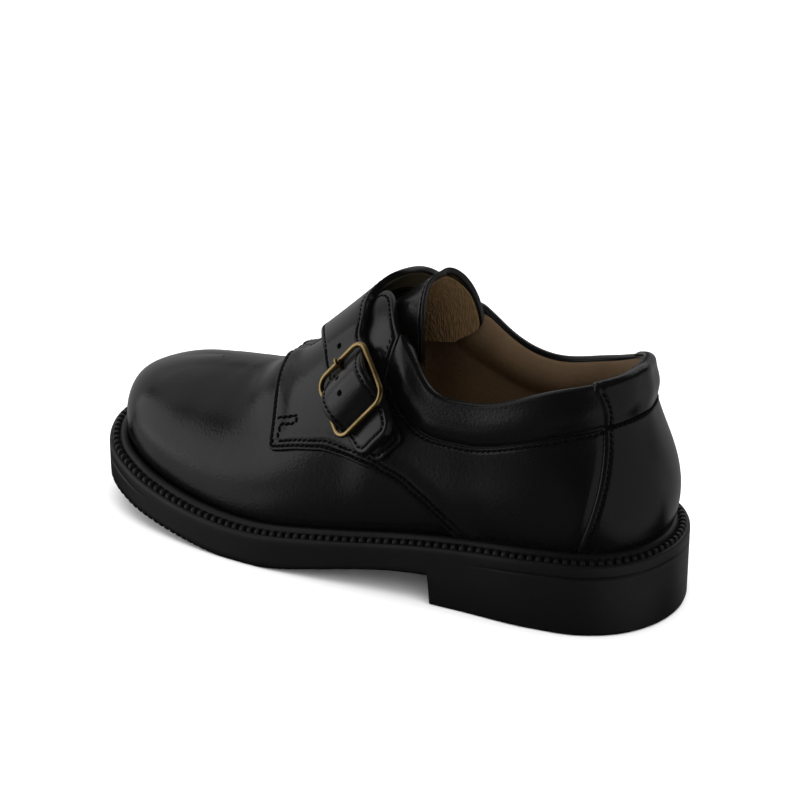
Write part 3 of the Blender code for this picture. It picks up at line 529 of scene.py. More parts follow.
# Brushed hide: a dull beige nap combed upright.  Its hairs, 0.05 mm, are drawn 0.45 mm wide to show
FLEECE = finish(
    "brushed beige tongue lining", "tongue", "#6B5539", rough=0.9, grain=0.45, deep=0.8, spec=0.1,
    dark="#3E2F1F", long=7.0)
# Vegetable tanned leather: a paler dull tan with the same pits
SOCK = finish(
    "tan leather sock", "insole", "#B08C66", rough=0.65, grain=1.1, deep=0.06, spec=0.2, dark="#866A4A")
# Split hide under the strap: dull olive with a short rough nap
OLIVE = finish("olive strap lining", "strap", "#3E3828", rough=0.8, grain=0.8, deep=0.1, spec=0.1)
# Drawn brass wire, aged: warm gold, brown where the patina stayed, with soft broad highlights
BRASS = finish(
    "antique brass wire", "buckle_frame", "#D8BC86", rough=0.36, grain=1.5, deep=0.02, cloud=0.1, metal=1.0,
    dark="#8E7448")
# Waxed twisted thread: blacker and duller than the leather, with the lay of its strands 0.3 mm apart
THREAD = finish("waxed black thread", "upper", "#050505", rough=0.6, grain=0.3, deep=0.2, spec=0.1, cloud=0.0)


def skin(name, top, out_lift, in_lift, material, node=None, foot=-2.6, levels=56):
    """A closed shell round the last: two skins at their lifts from a hem behind the welt up to a top height,
    joined by a rim as far as the throat and by the crest in front of it."""
    half = np.r_[
        np.linspace(0, 0.42, 100), np.linspace(0.42, THROAT, 110)[1:], np.linspace(THROAT, 1, 130)[1:]]
    ring = np.r_[half, -half[-2:0:-1]][:, None]
    height = top(ring) * np.linspace(0, 1, levels)[None]
    ring = ring + 0 * height
    sheets = []
    for lift in (out_lift, in_lift):
        sheet = last(ring, height, lift(ring, height))
        sheets.append(np.concatenate([sheet[:, :1] + (0, 0, foot), sheet], 1))
    ribs, tall = sheets[0].shape[:2]
    count = ribs * tall
    i = np.arange(ribs)
    j = (i + 1) % ribs
    hem = np.stack([i * tall, j * tall, count + j * tall, count + i * tall], -1)
    gap = np.maximum(np.abs(ring[i, 0]), np.abs(ring[j, 0])) < THROAT + 1e-6
    rim = (hem + tall - 1)[gap]
    faces = np.r_[quads(ribs, tall, True), quads(ribs, tall, True, first=count), hem, rim]
    return piece(name, np.concatenate([sheet.reshape(-1, 3) for sheet in sheets]), faces, material, node)


def above_seam(ring, height):
    """Place in the padded collar, 0 at its seam to 1 at the topline, and fullness, fading at the facings."""
    share = np.abs(ring)
    seam = collar_seam(share)
    return np.clip((height - seam) / (1 - seam), 0, 1), np.sqrt(np.clip((FACING_REAR - share) / 0.03, 0, 1))


def swell(ring, height):
    """Swell of the padded collar over the quarter: a sine over its height, cut short at the topline."""
    q, full = above_seam(ring, height)
    return 1.5 * np.sin(np.pi * (q - 0.17 * q ** 3)) ** 1.5 * full


def inside(ring, height):
    """Lift of the lining's face: the wall, a sine thicker behind the collar's pad, thinner at the topline."""
    q, full = above_seam(ring, height)
    return -WALL + (1.1 * q ** 6 - LINING_PAD * np.sin(np.pi * q)) * full


def top_edge(ring):
    """Height where the leather ends: topline, crest, or the facing's edge, lower on the inner side."""
    share = np.abs(ring)
    lower = 0.07 * np.where(ring < 0, ease(share, 0.452, 0.475) * (1 - ease(share, 0.53, 0.60)), 0)
    return np.minimum(leather_end(share), 1.0) - lower


def flex(ring, height, high=1.9, wide=0.040, ahead=0.012):
    """Soft ridge the vamp is pushed up into in front of the flaps: a bell curve along the ring that follows
    the flap's front edge, fading down the side and towards the crest."""
    apart = np.abs(ring) - flap_front(height) - ahead
    fade = ease(height, 0.45, 0.80) * (1 - 0.6 * ease(height, 0.90, 1.0))
    return high * np.exp(-(apart / wide) ** 2) * fade


def build_upper():
    """Vamp and under-quarters: a skin of the last that stops under the collar, the quarters and the facings,
    with the ridge pushed up in front of the flaps."""
    def top(ring, under_collar=0.76):
        share = np.abs(ring)
        edge = top_edge(ring) - 0.014 * np.clip((THROAT - share) / 0.02, 0, 1)
        return under_collar + (edge - under_collar) * ease(share, 0.435, 0.462)
    skin("vamp", top, flex, lambda ring, height: flex(ring, height) - 1.1, CALF, "upper")


def build_lining():
    """Lining: a skin inside the wall, ending a little below the topline and the facings' edges."""
    def top(ring):
        share = np.abs(ring)
        fall = 0.1 + 3.4 * ease(share, 0.41, 0.455)
        return top_edge(ring) - fall / mm_height(ring, 0.95) * np.clip((THROAT - share) / 0.05, 0, 1)
    skin("lining", top, lambda ring, height: inside(ring, height) + 0.95,
         lambda ring, height: inside(ring, height) - 0.35, TAN)


def over_rim(ring, top, rim_out, rim_in, crown, turn, more=0.0):
    """Points over the topline, on an ellipse from an outer to an inner lift: crown is its height against half
    its width, and more is added to both."""
    middle, half = (rim_out + rim_in) / 2, (rim_out - rim_in) / 2
    tip = unit(last(ring, top, 0 * ring) - last(ring, top - 0.02, 0 * ring))
    side = last(ring + 0 * turn, top + 0 * turn, middle + (half + more) * np.cos(turn))
    return side + tip * ((crown * half + more) * np.sin(turn))[..., None]


def build_collar():
    """Padded collar: closed sections along the topline, each the swell outside, a half ellipse over the rim,
    a band of leather inside and a hidden way back."""
    ring = np.linspace(-FACING_REAR, FACING_REAR, 361)[:, None]
    seam = collar_seam(np.abs(ring))
    top = np.minimum(leather_end(np.abs(ring)) + 0.004, 1.0)
    place = np.r_[np.linspace(0, 0.12, 12), np.linspace(0.12, 1, 30)[1:]][None]
    level = seam - 0.01 + (top - seam + 0.01) * place
    wide = ring + 0 * level
    from_seam = (level - seam) * mm_height(wide, level)
    outer = last(wide, level, COLLAR_LIFT + swell(wide, level) - pressed(from_seam, 0, deep=0.4, wide=1.8))
    crown = 0.2 + 0.64 * above_seam(ring, top)[1]
    turn = np.linspace(0, np.pi, 20)[None, 1:-1]
    rim = over_rim(ring, top, COLLAR_LIFT + swell(ring, top), inside(ring, top), crown, turn)
    drop = top - np.linspace(0, 0.13, 9)[None]
    wide = ring + 0 * drop
    inner = last(wide, drop, inside(wide, drop))
    back = last(ring, drop[:, -1:], inside(ring, drop[:, -1:]) + 0.8)
    loop = np.concatenate([outer, rim, inner, back], 1)
    collar = piece("padded_collar", loop, capped(*loop.shape[:2]), SOFT)


LINES = []


def sew(ring, height, lift):
    """A row of stitches over the last through places of ring and height."""
    LINES.append((last(ring, height, lift + flex(ring, height)), outward(ring, height)))


def flap_lift(hem):
    """Lift of the quarter's face: thicker along the turned hem of its lower and front edges."""
    return 1.65 + 0.5 * (1 - ease(hem, 4, 9))


def build_quarter(name, sign, node):
    """Quarter laid over the vamp: counter seam to flap edge, welt or flap's lower edge to collar seam, and
    behind the throat up to the facing's edge; its lift falls at the cut edges and along the stitch rows.
    Shares and heights depend on each other along the edges, so they are worked out in a few rounds."""
    base = np.r_[
        np.linspace(QUARTER_REAR, 0.15, 12), np.linspace(0.15, 0.452, 84)[1:], np.linspace(0.4535, 0.4586, 6),
        FACING_REAR + FINE / 200, np.linspace(0.479, 0.612, 44), QUARTER_FRONT - FINE[::-1] / 245][:, None]
    near_rear = np.clip(1 - (base - QUARTER_REAR) / END_BLEND, 0, 1)
    near_front = np.clip(1 - (QUARTER_FRONT - base) / END_BLEND, 0, 1)
    lower, upper = spread(42, 0.9), spread(18, 0.8)[1:]
    lower_part = np.r_[lower, np.ones(len(upper))][None]
    upper_part = np.r_[np.zeros(len(lower)), upper][None]
    facing = base >= FACING_REAR
    height = 0.1 + 0.8 * lower_part + 0 * base
    for _ in range(8):
        rear, front = counter_edge(height) - 0.012, flap_front(height)
        share = base + near_rear * (rear - QUARTER_REAR) + near_front * (front - QUARTER_FRONT)
        low = np.maximum(flap_lower(share), 0.01)
        seam = collar_seam(share) - 0.004
        top = np.where(facing, np.maximum(top_edge(sign * share) - 0.002, seam), seam)
        height = low + (seam - low) * lower_part + (top - seam) * upper_part
    # Distances from each edge in millimetres; far stands for an edge that is not there
    far = 9.0
    across, tall = mm_ring(sign * share, height), mm_height(sign * share, height)
    slope = (flap_lower(share + 0.003) - flap_lower(share - 0.003)) / 0.006 * tall / across
    from_low = (height - flap_lower(share)) * tall / np.sqrt(1 + slope ** 2)
    from_front = (front - share) * across
    behind = (share - FACING_REAR) * across
    past, under = np.maximum(behind, 0), (seam - height) * tall
    from_seam = np.where(facing, np.hypot(past, np.maximum(under, 0)), under)
    from_seam = np.where(facing & (height > seam), past, from_seam)
    from_top = np.where(facing, (top - height) * tall, far)
    from_facing = np.minimum(from_top, np.where(height > seam, behind, far))
    # The square at the flap's front corner is drawn onto a quarter disc
    a, b = 1 - from_front / FLAP_CORNER, 1 - from_low / FLAP_CORNER
    at_corner = (a > 0) & (b > 0)
    a2, b2 = a * np.sqrt(1 - np.minimum(b * b, 1) / 2), b * np.sqrt(1 - np.minimum(a * a, 1) / 2)
    share = share - np.where(at_corner, FLAP_CORNER * (a - a2) / across, 0)
    height = height + np.where(at_corner, FLAP_CORNER * (b - b2) / tall, 0)
    hem = np.where(at_corner, FLAP_CORNER * (1 - np.hypot(a2, b2)), np.minimum(from_low, from_front))
    fall = np.maximum(rolled(hem, deep=1.4, wide=0.9), rolled(from_top, deep=1.1, wide=0.55))
    fall = fall + np.where(facing, rolled(from_seam, 1.0, 0.6), rolled(from_seam, 0.5, 0.45))
    fall = fall + pressed(hem, FLAP_ROWS[0], 0.4, 0.9) + pressed(from_low, FLAP_ROWS[1], 0.4, 0.9)
    fall = fall + pressed(from_facing, FACING_ROW, 0.35, 0.9)
    fall = fall + np.where(facing, 0, pressed(from_seam, COLLAR_ROW, 0.2))
    fall = fall + 1.2 * (1 - ease(share, rear, rear + 0.022))
    ring = sign * share
    ridge = flex(ring, height)
    face = last(ring, height, flap_lift(hem) - fall + ridge)
    slab(name, last(ring, height, 0.12 + ridge), face, CALF, node)


def sew_quarter(sign):
    """Rows of a quarter: two along the flap's lower edge, the outer one turning its corner in an arc and
    going on up its front edge; the bar tack; one under the collar; and one along the facing."""
    place = np.linspace(0, 1, 90)
    across, tall = [mm(sign * FLAP_FOOT[0], FLAP_FOOT[1]) for mm in (mm_ring, mm_height)]
    rows = []
    for inset, start, stop in zip(FLAP_ROWS, (0.322, 0.330), (FLAP_FOOT[0] - FLAP_CORNER / across, 0.606)):
        share = start + (stop - start) * place
        low = flap_lower(share)
        high = mm_height(sign * share, low)
        slope = np.gradient(low, share) * high / mm_ring(sign * share, low)
        height = low + inset * np.sqrt(1 + slope ** 2) / high
        keep = height > 0.05
        rows.append((share[keep], height[keep]))
    sew(sign * rows[1][0], rows[1][1], FLAP_THREAD)
    share, height = rows[0]
    turn, bend = np.linspace(0, np.pi / 2, 12), FLAP_CORNER - FLAP_ROWS[0]
    share = np.r_[share, share[-1] + bend / across * np.sin(turn)]
    height = np.r_[height, height[-1] + bend / tall * (1 - np.cos(turn))]
    rise = height[-1] + (0.97 - height[-1]) * place
    front = flap_front(rise)
    front = front - FLAP_ROWS[0] / mm_ring(sign * front, rise)
    sew(sign * np.r_[share, front], np.r_[height, rise], FLAP_THREAD)
    # Bar tack: up from the lower rows, back along the flap, round and forward again
    turn = np.linspace(np.pi / 2, -np.pi / 2, 14)
    share = np.r_[np.full(20, 0.6075), np.linspace(0.6075, 0.588, 24),
                  0.588 - 0.004 * np.cos(turn), np.linspace(0.588, 0.6165, 30)]
    height = np.r_[np.linspace(0.42, 0.480, 20), np.linspace(0.480, 0.470, 24),
                   0.4855 - 0.0155 * np.sin(turn), np.linspace(0.501, 0.515, 30)]
    sew(sign * share, height, 0.15 + flap_lift((FLAP_FOOT[0] - share) * across))
    share = 0.10 + (FACING_REAR - 0.106) * place
    height = collar_seam(share)
    sew(sign * share, height - COLLAR_ROW / mm_height(sign * share, height), 1.5)
    # Facing: up behind its rear edge, then along under its top edge
    start = FACING_REAR + 0.0105
    share = start + (0.615 - FACING_REAR) * place
    height = top_edge(sign * share) - 0.002
    height = height - FACING_ROW / mm_height(sign * share, height)
    rise = 0.70 + 0.14 * place
    rise = rise[rise < height[0] - 0.004]
    sew(sign * np.r_[0 * rise + start, share], np.r_[rise, height], 1.42)


def build_counter():
    """Heel counter wrapped round the back from the welt to the rim of the collar: the swell of the collar
    with a furrow along the collar seam, rounded at its front edges."""
    height = np.r_[
        np.linspace(0.01, 0.68, 44), np.linspace(0.68, 0.80, 26)[1:], np.linspace(0.80, 1, 20)[1:]][None]
    share = counter_edge(height)
    ring = (spread(64, 0.8) * 2 - 1)[:, None] * share
    height = height + 0 * ring
    edge = (share - np.abs(ring)) * mm_ring(ring, height)
    from_seam = (height - collar_seam(np.abs(ring))) * mm_height(ring, height)
    over = 2.0 - rolled(edge, 1.15, 1.8) - pressed(edge, COUNTER_ROW, 0.3) - pressed(from_seam, 0, 0.3, 1.2)
    raised = swell(ring, height) + 0.15 * ease(from_seam, 0, 5)
    turn = np.linspace(0, 0.7 * np.pi, 12)[None, 1:]
    top = ring[:, -1:]
    sheets = []
    for lift in (0 * over + 0.75, over):
        more = lift[:, -1:] * (1 - 0.55 * turn / turn.max())
        rim = over_rim(top, 1.0 + 0 * top, raised[:, -1:], inside(top, 1.0), 0.84, turn, more)
        sheets.append(np.concatenate([last(ring, height, raised + lift), rim], 1))
    slab("counter_leather", *sheets, CALF, "heel_counter")
    height = np.linspace(0.05, 0.985, 120)
    share = counter_edge(height)
    for sign in (1, -1):
        ring = sign * (share - COUNTER_ROW / mm_ring(sign * share, height))
        padding = swell(ring, height) + 0.15 * ease(height - collar_seam(np.abs(ring)), 0, 0.08)
        sew(ring, height, 1.92 + padding)
    ring = np.linspace(-0.108, 0.108, 120)
    sew(ring, collar_seam(np.abs(ring)), 1.9)


def loops(inset, count):
    """The sole's outline moved inward, read evenly along its length, with its x before the move."""
    outer, inner = SIDES
    line, away = [np.r_[outer[k][:-1], inner[k][:0:-1], outer[k][:1]] for k in (0, 1)]
    reach = lengths(line)
    at = np.linspace(0, reach[-1], count, endpoint=False)
    spot, out = along_line(at, reach, line), along_line(at, reach, away)
    return spot - unit(out) * np.reshape(inset, (-1, 1)), spot[:, 0]


def build_welt(ribs=172, count=1720):
    """Moulded welt: round the sole a closed section of a bead beside the upper and a ledge outside it whose
    height and reach rise and fall as one rounded rib after another."""
    turn = np.linspace(0, 1, count, endpoint=False) * ribs % 1
    valley = 1 - ease(np.minimum(turn, 1 - turn), 0.10, 0.30)
    rings = []
    for inset, high, sunk in zip(*WELT.values()):
        spot, x = loops(inset + 0.3 * sunk * valley, count)
        rings.append(np.c_[spot, sole_top(x) + high - sunk * valley])
    piece("ribbed_welt", np.stack(rings, 1), quads(count, len(rings), True, True), RUBBER, "welt", 60)


def build_outsole(count=900, groove_pitch=2.6, groove_deep=0.9, lip_deep=0.42):
    """Moulded sole: loops of the outline stacked from the underside, round the foot edge, up the side with
    its lip groove and over the top edge; cross grooves in the underside notch the toe's edge."""
    x = SOLE_LENGTH * (1 - np.cos(np.linspace(0, np.pi, count))) / 2
    x = np.sort(np.r_[x, HEEL_BREAST, HEEL_BREAST + BREAST_SLANT])
    x = x[(np.abs(x - HEEL_BREAST - BREAST_SLANT / 2) >= BREAST_SLANT / 2 - 1e-9)]
    low, high = sole_bottom(x), sole_top(x) + 1.2
    front = ease(x, 96, 104) * (1 - ease(x, 208, 210))
    heel = ease(x, 5, 8) * (1 - ease(x, 64, 67))
    tread = groove_deep * ease(np.cos(x * 2 * np.pi / groove_pitch), 0.0, 0.7) * np.maximum(front, heel)
    notch = tread * ease(x, 150, 172)
    side = high - low - 2.2
    rings = [
        (6.0, low + tread), (2.4, low + tread * ease(x, 120, 160)), (1.1, low + notch),
        (0.6, low + 0.1 + notch), (0.25, low + 0.4 + 0.9 * notch), (0.0, low + 1.1 + 0.6 * notch)]
    for k, (depth, inset) in enumerate(zip(*SOLE_SIDE.values())):
        groove = lip_deep * lip_groove(x) * np.exp(-((depth - LIP_DEPTH) / 0.35) ** 2)
        rings.append((inset + groove, high - np.minimum(depth, side * (0.97 - 0.05 * k))))
    rings.append((7.0, high - 1.2))
    halves = [(np.c_[x, np.interp(x, points[:, 0], points[:, 1])], unit(along_line(x, points[:, 0], out)))
              for points, out in SIDES]
    spot, way = [np.r_[outer, inner[-2:0:-1]] for outer, inner in zip(*halves)]
    around = np.r_[np.arange(len(x)), np.arange(len(x) - 2, 0, -1)]
    stack = [np.c_[spot - way * np.broadcast_to(inset, x.shape)[around, None], z[around]]
             for inset, z in rings]
    size = len(around)
    i = np.arange(1, len(x) - 2)
    cap = np.stack([i, i + 1, size - i - 1, size - i], -1)
    ends = np.array([(0, 1, size - 1), (len(x) - 2, len(x) - 1, len(x))])
    top = (len(stack) - 1) * size
    faces = [*quads(len(stack), size, wrap_columns=True), *cap, *ends, *(cap + top), *(ends + top)]
    piece("moulded_sole", np.stack(stack), faces, RUBBER, "outsole", 40)


def build_insole():
    """Sock: stations along the foot by places across it, cupped a little at the edges, flat underneath."""
    rims = [points - out * (FEATHER_INSET + WALL + 0.2) for points, out in SIDES]
    start, stop = max(rim[0, 0] for rim in rims) + 0.01, min(rim[-1, 0] for rim in rims) - 0.01
    x = start + (stop - start) * (1 - np.cos(np.linspace(0, np.pi, 90))) / 2
    edges = [np.interp(x, rim[:, 0], rim[:, 1])[:, None] for rim in rims]
    across = np.sin(np.linspace(-np.pi / 2, np.pi / 2, 40))[None] / 2 + 0.5
    y = edges[0] + (edges[1] - edges[0]) * across
    floor = sole_top(x)[:, None] + 0.3 + 0 * y
    cup = 1.6 * (2 * across - 1) ** 6
    under, over = [np.stack([x[:, None] + 0 * y, y, z], -1) for z in (floor, floor + INSOLE_THICK + cup)]
    slab("sock", under, over, SOCK, "insole")


def buckle_axes():
    """Directions along the buckle's bars, along the strap's run and out of the buckle's plane."""
    bar = unit(np.array(BUCKLE_BAR_AXIS))
    run = np.array(BUCKLE_RUN_AXIS)
    run = unit(run - bar * (run @ bar))
    return bar, run, np.cross(run, bar)


def buckle_point(bar_place, run_place, height):
    """A point in the buckle's own axes."""
    bar, run, out = buckle_axes()
    place = [np.asarray(q, float)[..., None] for q in (bar_place, run_place, height)]
    return np.array(BUCKLE_CENTRE) + place[0] * bar + place[1] * run + place[2] * out


def band(read, across):
    """Share, height and lift of a band over the last, straight across from its rear to its front edge."""
    edges = [[read(end + name) for end in ("rear_", "front_")] for name in ("share", "height", "lift")]
    return [rear + (front - rear) * across for rear, front in edges]


def strap_net():
    """Three points across the strap's underside at each row of its two tables, with outward directions and
    the lengths along its middle."""
    across = np.array([0, 0.5, 1])
    run, rear, front, height, tilt = [values[:, None] for values in STRAP_TAIL.values()]
    height = height + STRAP_CROWN * np.array([0, 1, 0]) + tilt * np.array([0, 0.4, 1])
    tail = buckle_point(rear + (front - rear) * across, run, height)
    share, height, lift = band(lambda name: STRAP_OVER[name][:, None], across)
    ring, height = saddle(share, height)
    net = np.r_[tail, last(ring, height, lift)]
    ways = np.r_[np.broadcast_to(buckle_axes()[2], tail.shape), outward(ring, height)]
    return net, ways, lengths(net[:, 1])


STRAP_NET, STRAP_WAYS, STRAP_REACH = strap_net()


def strap_sheet(along, across):
    """Underside of the strap with its outward directions: curves along its net, a parabola across from rear
    edge to front edge.  along is in millimetres from the tail's end, one for each row of the grid across."""
    weights = np.stack([
        (1 - across) * (1 - 2 * across), 4 * across * (1 - across), across * (2 * across - 1)])
    sheets = []
    for net in (STRAP_NET, STRAP_WAYS):
        rows = np.stack([smooth(along, STRAP_REACH, net[:, a, b]) for a in range(3) for b in range(3)], -1)
        sheets.append(np.einsum("rab,arc->rcb", rows.reshape(-1, 3, 3), weights))
    return sheets[0], unit(sheets[1])


def strap_width(along):
    """Width of the strap at places along it."""
    sheet, _ = strap_sheet(along, np.broadcast_to([0.0, 1.0], (len(along), 2)))
    return np.linalg.norm(sheet[:, 1] - sheet[:, 0], axis=-1)


def tab_sheet(along, across):
    """Underside of the tab with its outward directions: a band over the last, smooth along its table."""
    place = along[:, None] / TAB_LENGTH
    ring, height, lift = band(lambda name: smooth(place, TAB["run"], TAB[name]), across)
    return last(ring, height, lift), outward(ring, height)


def round_ended(name, node, sheet, width, along, steps, thick, roll, row, stop, holes=()):
    """Leather over a sheet whose end has quarter circles for corners: its face falls at the cut edges, along
    its stitch row and in round punched holes.  The row is sewn from stop round the end and back."""
    corner = END_CORNER
    wide = width(along)[:, None]
    ahead = corner - along[:, None]
    inset = (corner - np.sqrt(corner ** 2 - np.clip(ahead, 0, corner) ** 2)) / wide
    across = inset + (1 - 2 * inset) * steps[None]
    under, out = sheet(along, across)
    aside = np.abs(across - 0.5) * wide
    beside = aside - (wide / 2 - corner)
    edge = np.where((ahead > 0) & (beside > 0), corner - np.hypot(ahead, beside),
                    np.minimum(along[:, None], wide / 2 - aside))
    lift = thick - rolled(edge, roll, roll) - pressed(edge, row, 0.3)
    for place in holes:
        spot, _ = sheet(np.array([place]), np.array([[0.55]]))
        lift = lift - 2.0 * (1 - ease(np.linalg.norm(under - spot[0, 0], axis=-1), 0.55, 0.85))
    slab(name, under, under + out * lift[..., None], CALF, node)
    half = width(np.array([8.0]))[0] / 2
    turn, bend = np.linspace(0, np.pi / 2, 12), corner - row
    along = np.r_[np.linspace(stop, corner, 120), corner - bend * np.sin(turn)]
    aside = np.r_[np.full(120, half - row), half - corner + bend * np.cos(turn)] + width(along) / 2 - half
    along, aside = np.r_[along, along[::-1]], np.r_[aside, -aside[::-1]]
    under, out = sheet(along, (0.5 + aside / width(along))[:, None])
    LINES.append(((under + out * (thick - 0.25))[:, 0], out[:, 0]))


def build_strap():
    """Strap over the instep, the thin lining under its arch, inset from its edges, and the buckle's tab."""
    length = STRAP_REACH[-1]
    along = np.r_[FINE, np.arange(3.9, 48, 0.3), np.linspace(48, length, 110)]
    round_ended("strap_leather", "strap", strap_sheet, strap_width, along, spread(19, 0.3), STRAP_THICK, 0.9,
                STRAP_ROW, length - 2.5, STRAP_HOLES)
    along = np.linspace(46, length - 6, 90)
    inset = 1.7 / strap_width(along)[:, None]
    under, out = strap_sheet(along, inset + (1 - 2 * inset) * np.linspace(0, 1, 24)[None])
    slab("strap_lining", under - out * 0.22, under + out * 0.1, OLIVE)
    round_ended("tab_leather", "buckle_tab", tab_sheet, lambda along: np.full(len(along), TAB_WIDTH),
                spread(TAB_LENGTH, 0.4) * TAB_LENGTH, spread(TAB_WIDTH, 0.4), TAB_THICK, 0.8, TAB_ROW,
                TAB_LENGTH - 2)


def build_buckle(tip=0.6):
    """Buckle: a round wire along a rectangle with round corners, a middle bar, and a bent prong whose tip is
    rounded by a half ellipse."""
    across, _, out = buckle_axes()
    half = np.array([BUCKLE_WIDTH / 2, BUCKLE_RUN / 2]) - BUCKLE_CORNER
    turns = np.linspace(0, np.pi / 2, 14) + np.pi / 2 * np.arange(4)[:, None]
    ways = np.array([(1, 1), (-1, 1), (-1, -1), (1, -1)])[:, None]
    path = (ways * half + BUCKLE_CORNER * np.stack([np.cos(turns), np.sin(turns)], -1)).reshape(-1, 2)
    path = np.r_[path, path[:1]]
    reach = lengths(path)
    line = along_line(np.linspace(0, reach[-1], 220, endpoint=False), reach, path)
    ring = tube(buckle_point(line[:, 0], line[:, 1], 0), WIRE_RADIUS, out, 20, True).reshape(-1, 3)
    place = np.linspace(-1, 1, 40)
    sag = buckle_point(place * (BUCKLE_WIDTH / 2), 0, -MIDDLE_BAR_DROP * (1 - place ** 8))
    bar = tube(sag, MIDDLE_BAR_RADIUS, out, 16).reshape(-1, 3)
    faces = [*quads(220, 20, True, True), *capped(40, 16, len(ring))]
    piece("buckle_wire", np.r_[ring, bar], faces, BRASS, "buckle_frame")
    knots = lengths(np.c_[PRONG["run"], PRONG["height"]])
    start = knots[-1] - tip
    at = np.r_[np.linspace(0, start, 70), start + tip * np.sin(np.linspace(0, np.pi / 2, 8))[1:]]
    thin = PRONG_RADIUS * np.sqrt(np.clip(1 - ((at - start) / tip).clip(0) ** 2, 0.0025, 1))
    run, height = [smooth(at, knots, values) for values in PRONG.values()]
    wire = tube(buckle_point(0, run, height), thin, across, 16)
    piece("prong_wire", wire, capped(len(at), 16), BRASS, "buckle_prong")


def tongue_sheet(along, past, across, inset):
    """Tongue at a depth under its outer face: the last's own instep inside the wall, then drawn out to an
    arched edge that is squarish seen from behind and whose inner leg stands further back."""
    share = TONGUE_ROOT + (TONGUE_NECK - TONGUE_ROOT) * along + 0 * across
    edge = smooth(along, np.array([0.0, 0.5, 1.0]), np.array([0.12, 0.25, 0.40]))
    ring, height = saddle(share, 1 - edge * across)
    body = last(ring, height, -WALL - 0.9 - inset + 0 * share)
    across = across + 0 * past
    half, drop, lean, square = [np.where(across > 0, a, b) for a, b in zip(TONGUE_LATERAL, TONGUE_MEDIAL)]
    power = 2 / square
    turn = np.abs(across) ** (1 / power) * np.pi / 2
    rim = np.stack([
        TONGUE_TOP[0] + lean * np.sin(np.abs(across) * np.pi / 2) ** 1.5,
        np.sign(across) * (half - inset) * np.sin(turn) ** power,
        TONGUE_TOP[1] - inset - drop * (1 - np.clip(np.cos(turn), 0, 1) ** power)], -1)
    sheet = body + (rim - body) * past[..., None]
    sheet[..., 1] *= 1 - TONGUE_PINCH * np.sin(np.pi * past ** 1.2)
    return sheet


def build_tongue():
    """Tongue in outer leather with a rolled edge and a stitch row along it, and a brushed lining inset from
    that edge."""
    across = 1 - 2 * spread(60, 0.7)[None]
    past = np.r_[np.zeros(40), spread(TONGUE_REACH, 0.5)[1:]][:, None]
    along = np.r_[np.linspace(0, 1, 40), np.ones(len(past) - 40)][:, None]
    past = past * (1 - 0.3 * ease(-across, 0.84, 1.0) ** 2)
    edge = (past.max(0) - past) * TONGUE_REACH
    face = rolled(edge, 0.9, 1.1) + pressed(edge, TONGUE_ROW, 0.55, 0.8)
    slab("tongue_leather", tongue_sheet(along, past, across, TONGUE_THICK - rolled(edge, 0.7, 1.1)),
         tongue_sheet(along, past, across, face), CALF, "tongue")
    reach = (0.925 + 0.05 * ease(-across, 0.2, 0.6)) * past
    across = np.where(across > 0, 0.96, 0.995) * across
    slab("tongue_lining", tongue_sheet(along, reach, across, TONGUE_THICK + 0.3),
         tongue_sheet(along, reach, across, TONGUE_THICK - 0.6), FLEECE)
    line = np.linspace(0.96, -0.96, 200)[None]
    one = np.ones((1, 1))
    row = [tongue_sheet(one, one - TONGUE_ROW / TONGUE_REACH, line, depth)[0] for depth in (0.45, -0.55)]
    LINES.append((row[0], row[1] - row[0]))


build_outsole()
build_welt()
build_insole()
build_upper()
build_lining()
build_collar()
for name, sign, node in (("outer_quarter", 1, "quarter_lateral"), ("inner_quarter", -1, "quarter_medial")):
    build_quarter(name, sign, node)
    sew_quarter(sign)
build_counter()
build_tongue()
build_strap()
build_buckle()
piece("stitching", *stitches(LINES), THREAD)

# Camera at the photo's angle: azimuth, elevation, distance from its aim in millimetres, aim, lens and sensor
CAMERA_WAY = (208, 24)
CAMERA_AWAY = 757.0
CAMERA_AIM = (99.9, 0.0, 51.4)
CAMERA_LENS, CAMERA_SENSOR = 104.67, 36.0
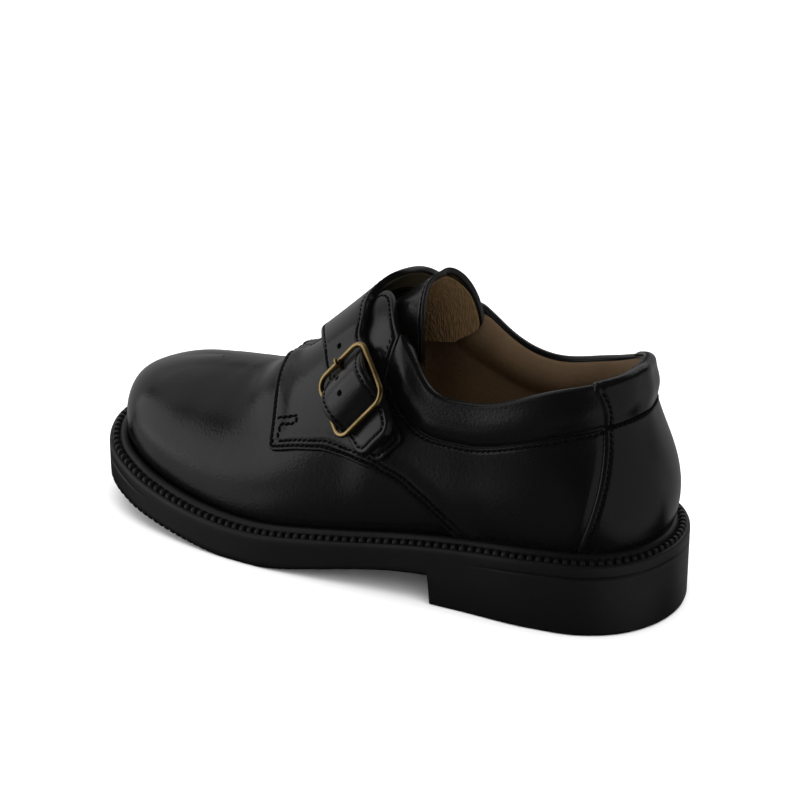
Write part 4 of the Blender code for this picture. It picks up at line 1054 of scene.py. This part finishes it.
# Softboxes: azimuth and elevation seen from the shoe, distance, width and height in metres, radiance, and
# whether reflections show them
SOFTBOXES = (
    ("upper softbox behind the toe", 90, 48, 1.3, 1.4, 0.9, 0.5, True),
    ("softbox beside the toe", 121, 13, 1.2, 1.45, 0.74, 1.0, True),
    ("floor glow beside the toe", 122, -12, 1.2, 1.4, 0.6, 0.5, True),
    ("backdrop", 60, 8, 1.2, 1.6, 1.35, 0.42, True),
    ("dim wall beside the camera", 170, -20, 1.2, 1.3, 1.2, 0.05, True),
    ("dim wall behind the heel", 262, -8, 1.2, 2.7, 1.7, 0.24, True),
    ("pale wall on the inner side", 345, -8, 1.2, 1.8, 1.2, 0.28, True),
    ("softbox over the inner side", 0, 36, 1.4, 1.9, 0.8, 0.8, True),
    ("overhead softbox", 0, 90, 2.2, 2.6, 2.6, 2.0, False),
    ("fill from behind the heel", 240, 46, 1.6, 1.1, 1.1, 1.6, False))


def direction(azimuth, rise):
    """Direction from the shoe at an azimuth, 0 on its inner side and 90 at its toe, and an elevation."""
    turn, lift = np.radians(azimuth), np.radians(rise)
    return np.array([np.sin(turn) * np.cos(lift), -np.cos(turn) * np.cos(lift), np.sin(lift)])


def build_studio():
    """Floor, softboxes and camera.  The shoe was photographed with white panels on its toe side and behind it
    and a dark room on the camera's side, so floor and sky are left out of its reflections."""
    scene = bpy.context.scene
    mesh = bpy.data.meshes.new("floor")
    mesh.from_pydata([(-8, -8, 0), (8, -8, 0), (8, 8, 0), (-8, 8, 0)], [], [(0, 1, 2, 3)])
    # Matt paper: an even white that only shows the shadow
    paper, _ = finish("plain white paper", "floor", "#F4F4F4", rough=0.9, grain=5, deep=0, spec=0.1, cloud=0)
    mesh.materials.append(paper)
    floor = stand("floor", mesh)
    floor.visible_glossy = False
    for name, azimuth, rise, away, wide, tall, glow, seen in SOFTBOXES:
        way = direction(azimuth, rise)
        light = bpy.data.lights.new(name, "AREA")
        light.shape, light.size, light.size_y = "ELLIPSE", wide, tall
        light.energy = glow * np.pi * (np.pi / 4) * wide * tall
        lamp = stand(name, light)
        lamp.location = way * away + (0, 0, 0.04)
        lamp.rotation_euler = Vector(way).to_track_quat("Z", "Y").to_euler()
        lamp.visible_glossy = seen
    world = bpy.data.worlds.new("studio")
    world.use_nodes = True
    sky = world.node_tree.nodes["Background"].inputs
    sky["Color"].default_value = (1, 1, 1, 1)
    sky["Strength"].default_value = 1.0
    world.cycles_visibility.glossy = False
    scene.world = world
    camera = bpy.data.cameras.new("camera")
    camera.sensor_width, camera.lens = CAMERA_SENSOR, CAMERA_LENS
    viewer = stand("camera", camera)
    back = direction(*CAMERA_WAY)
    viewer.location = (np.array(CAMERA_AIM) - MIDDLE + back * CAMERA_AWAY) * MM
    viewer.rotation_euler = Vector(back).to_track_quat("Z", "Y").to_euler()
    scene.camera = viewer
    scene.view_settings.view_transform = "Standard"


build_studio()
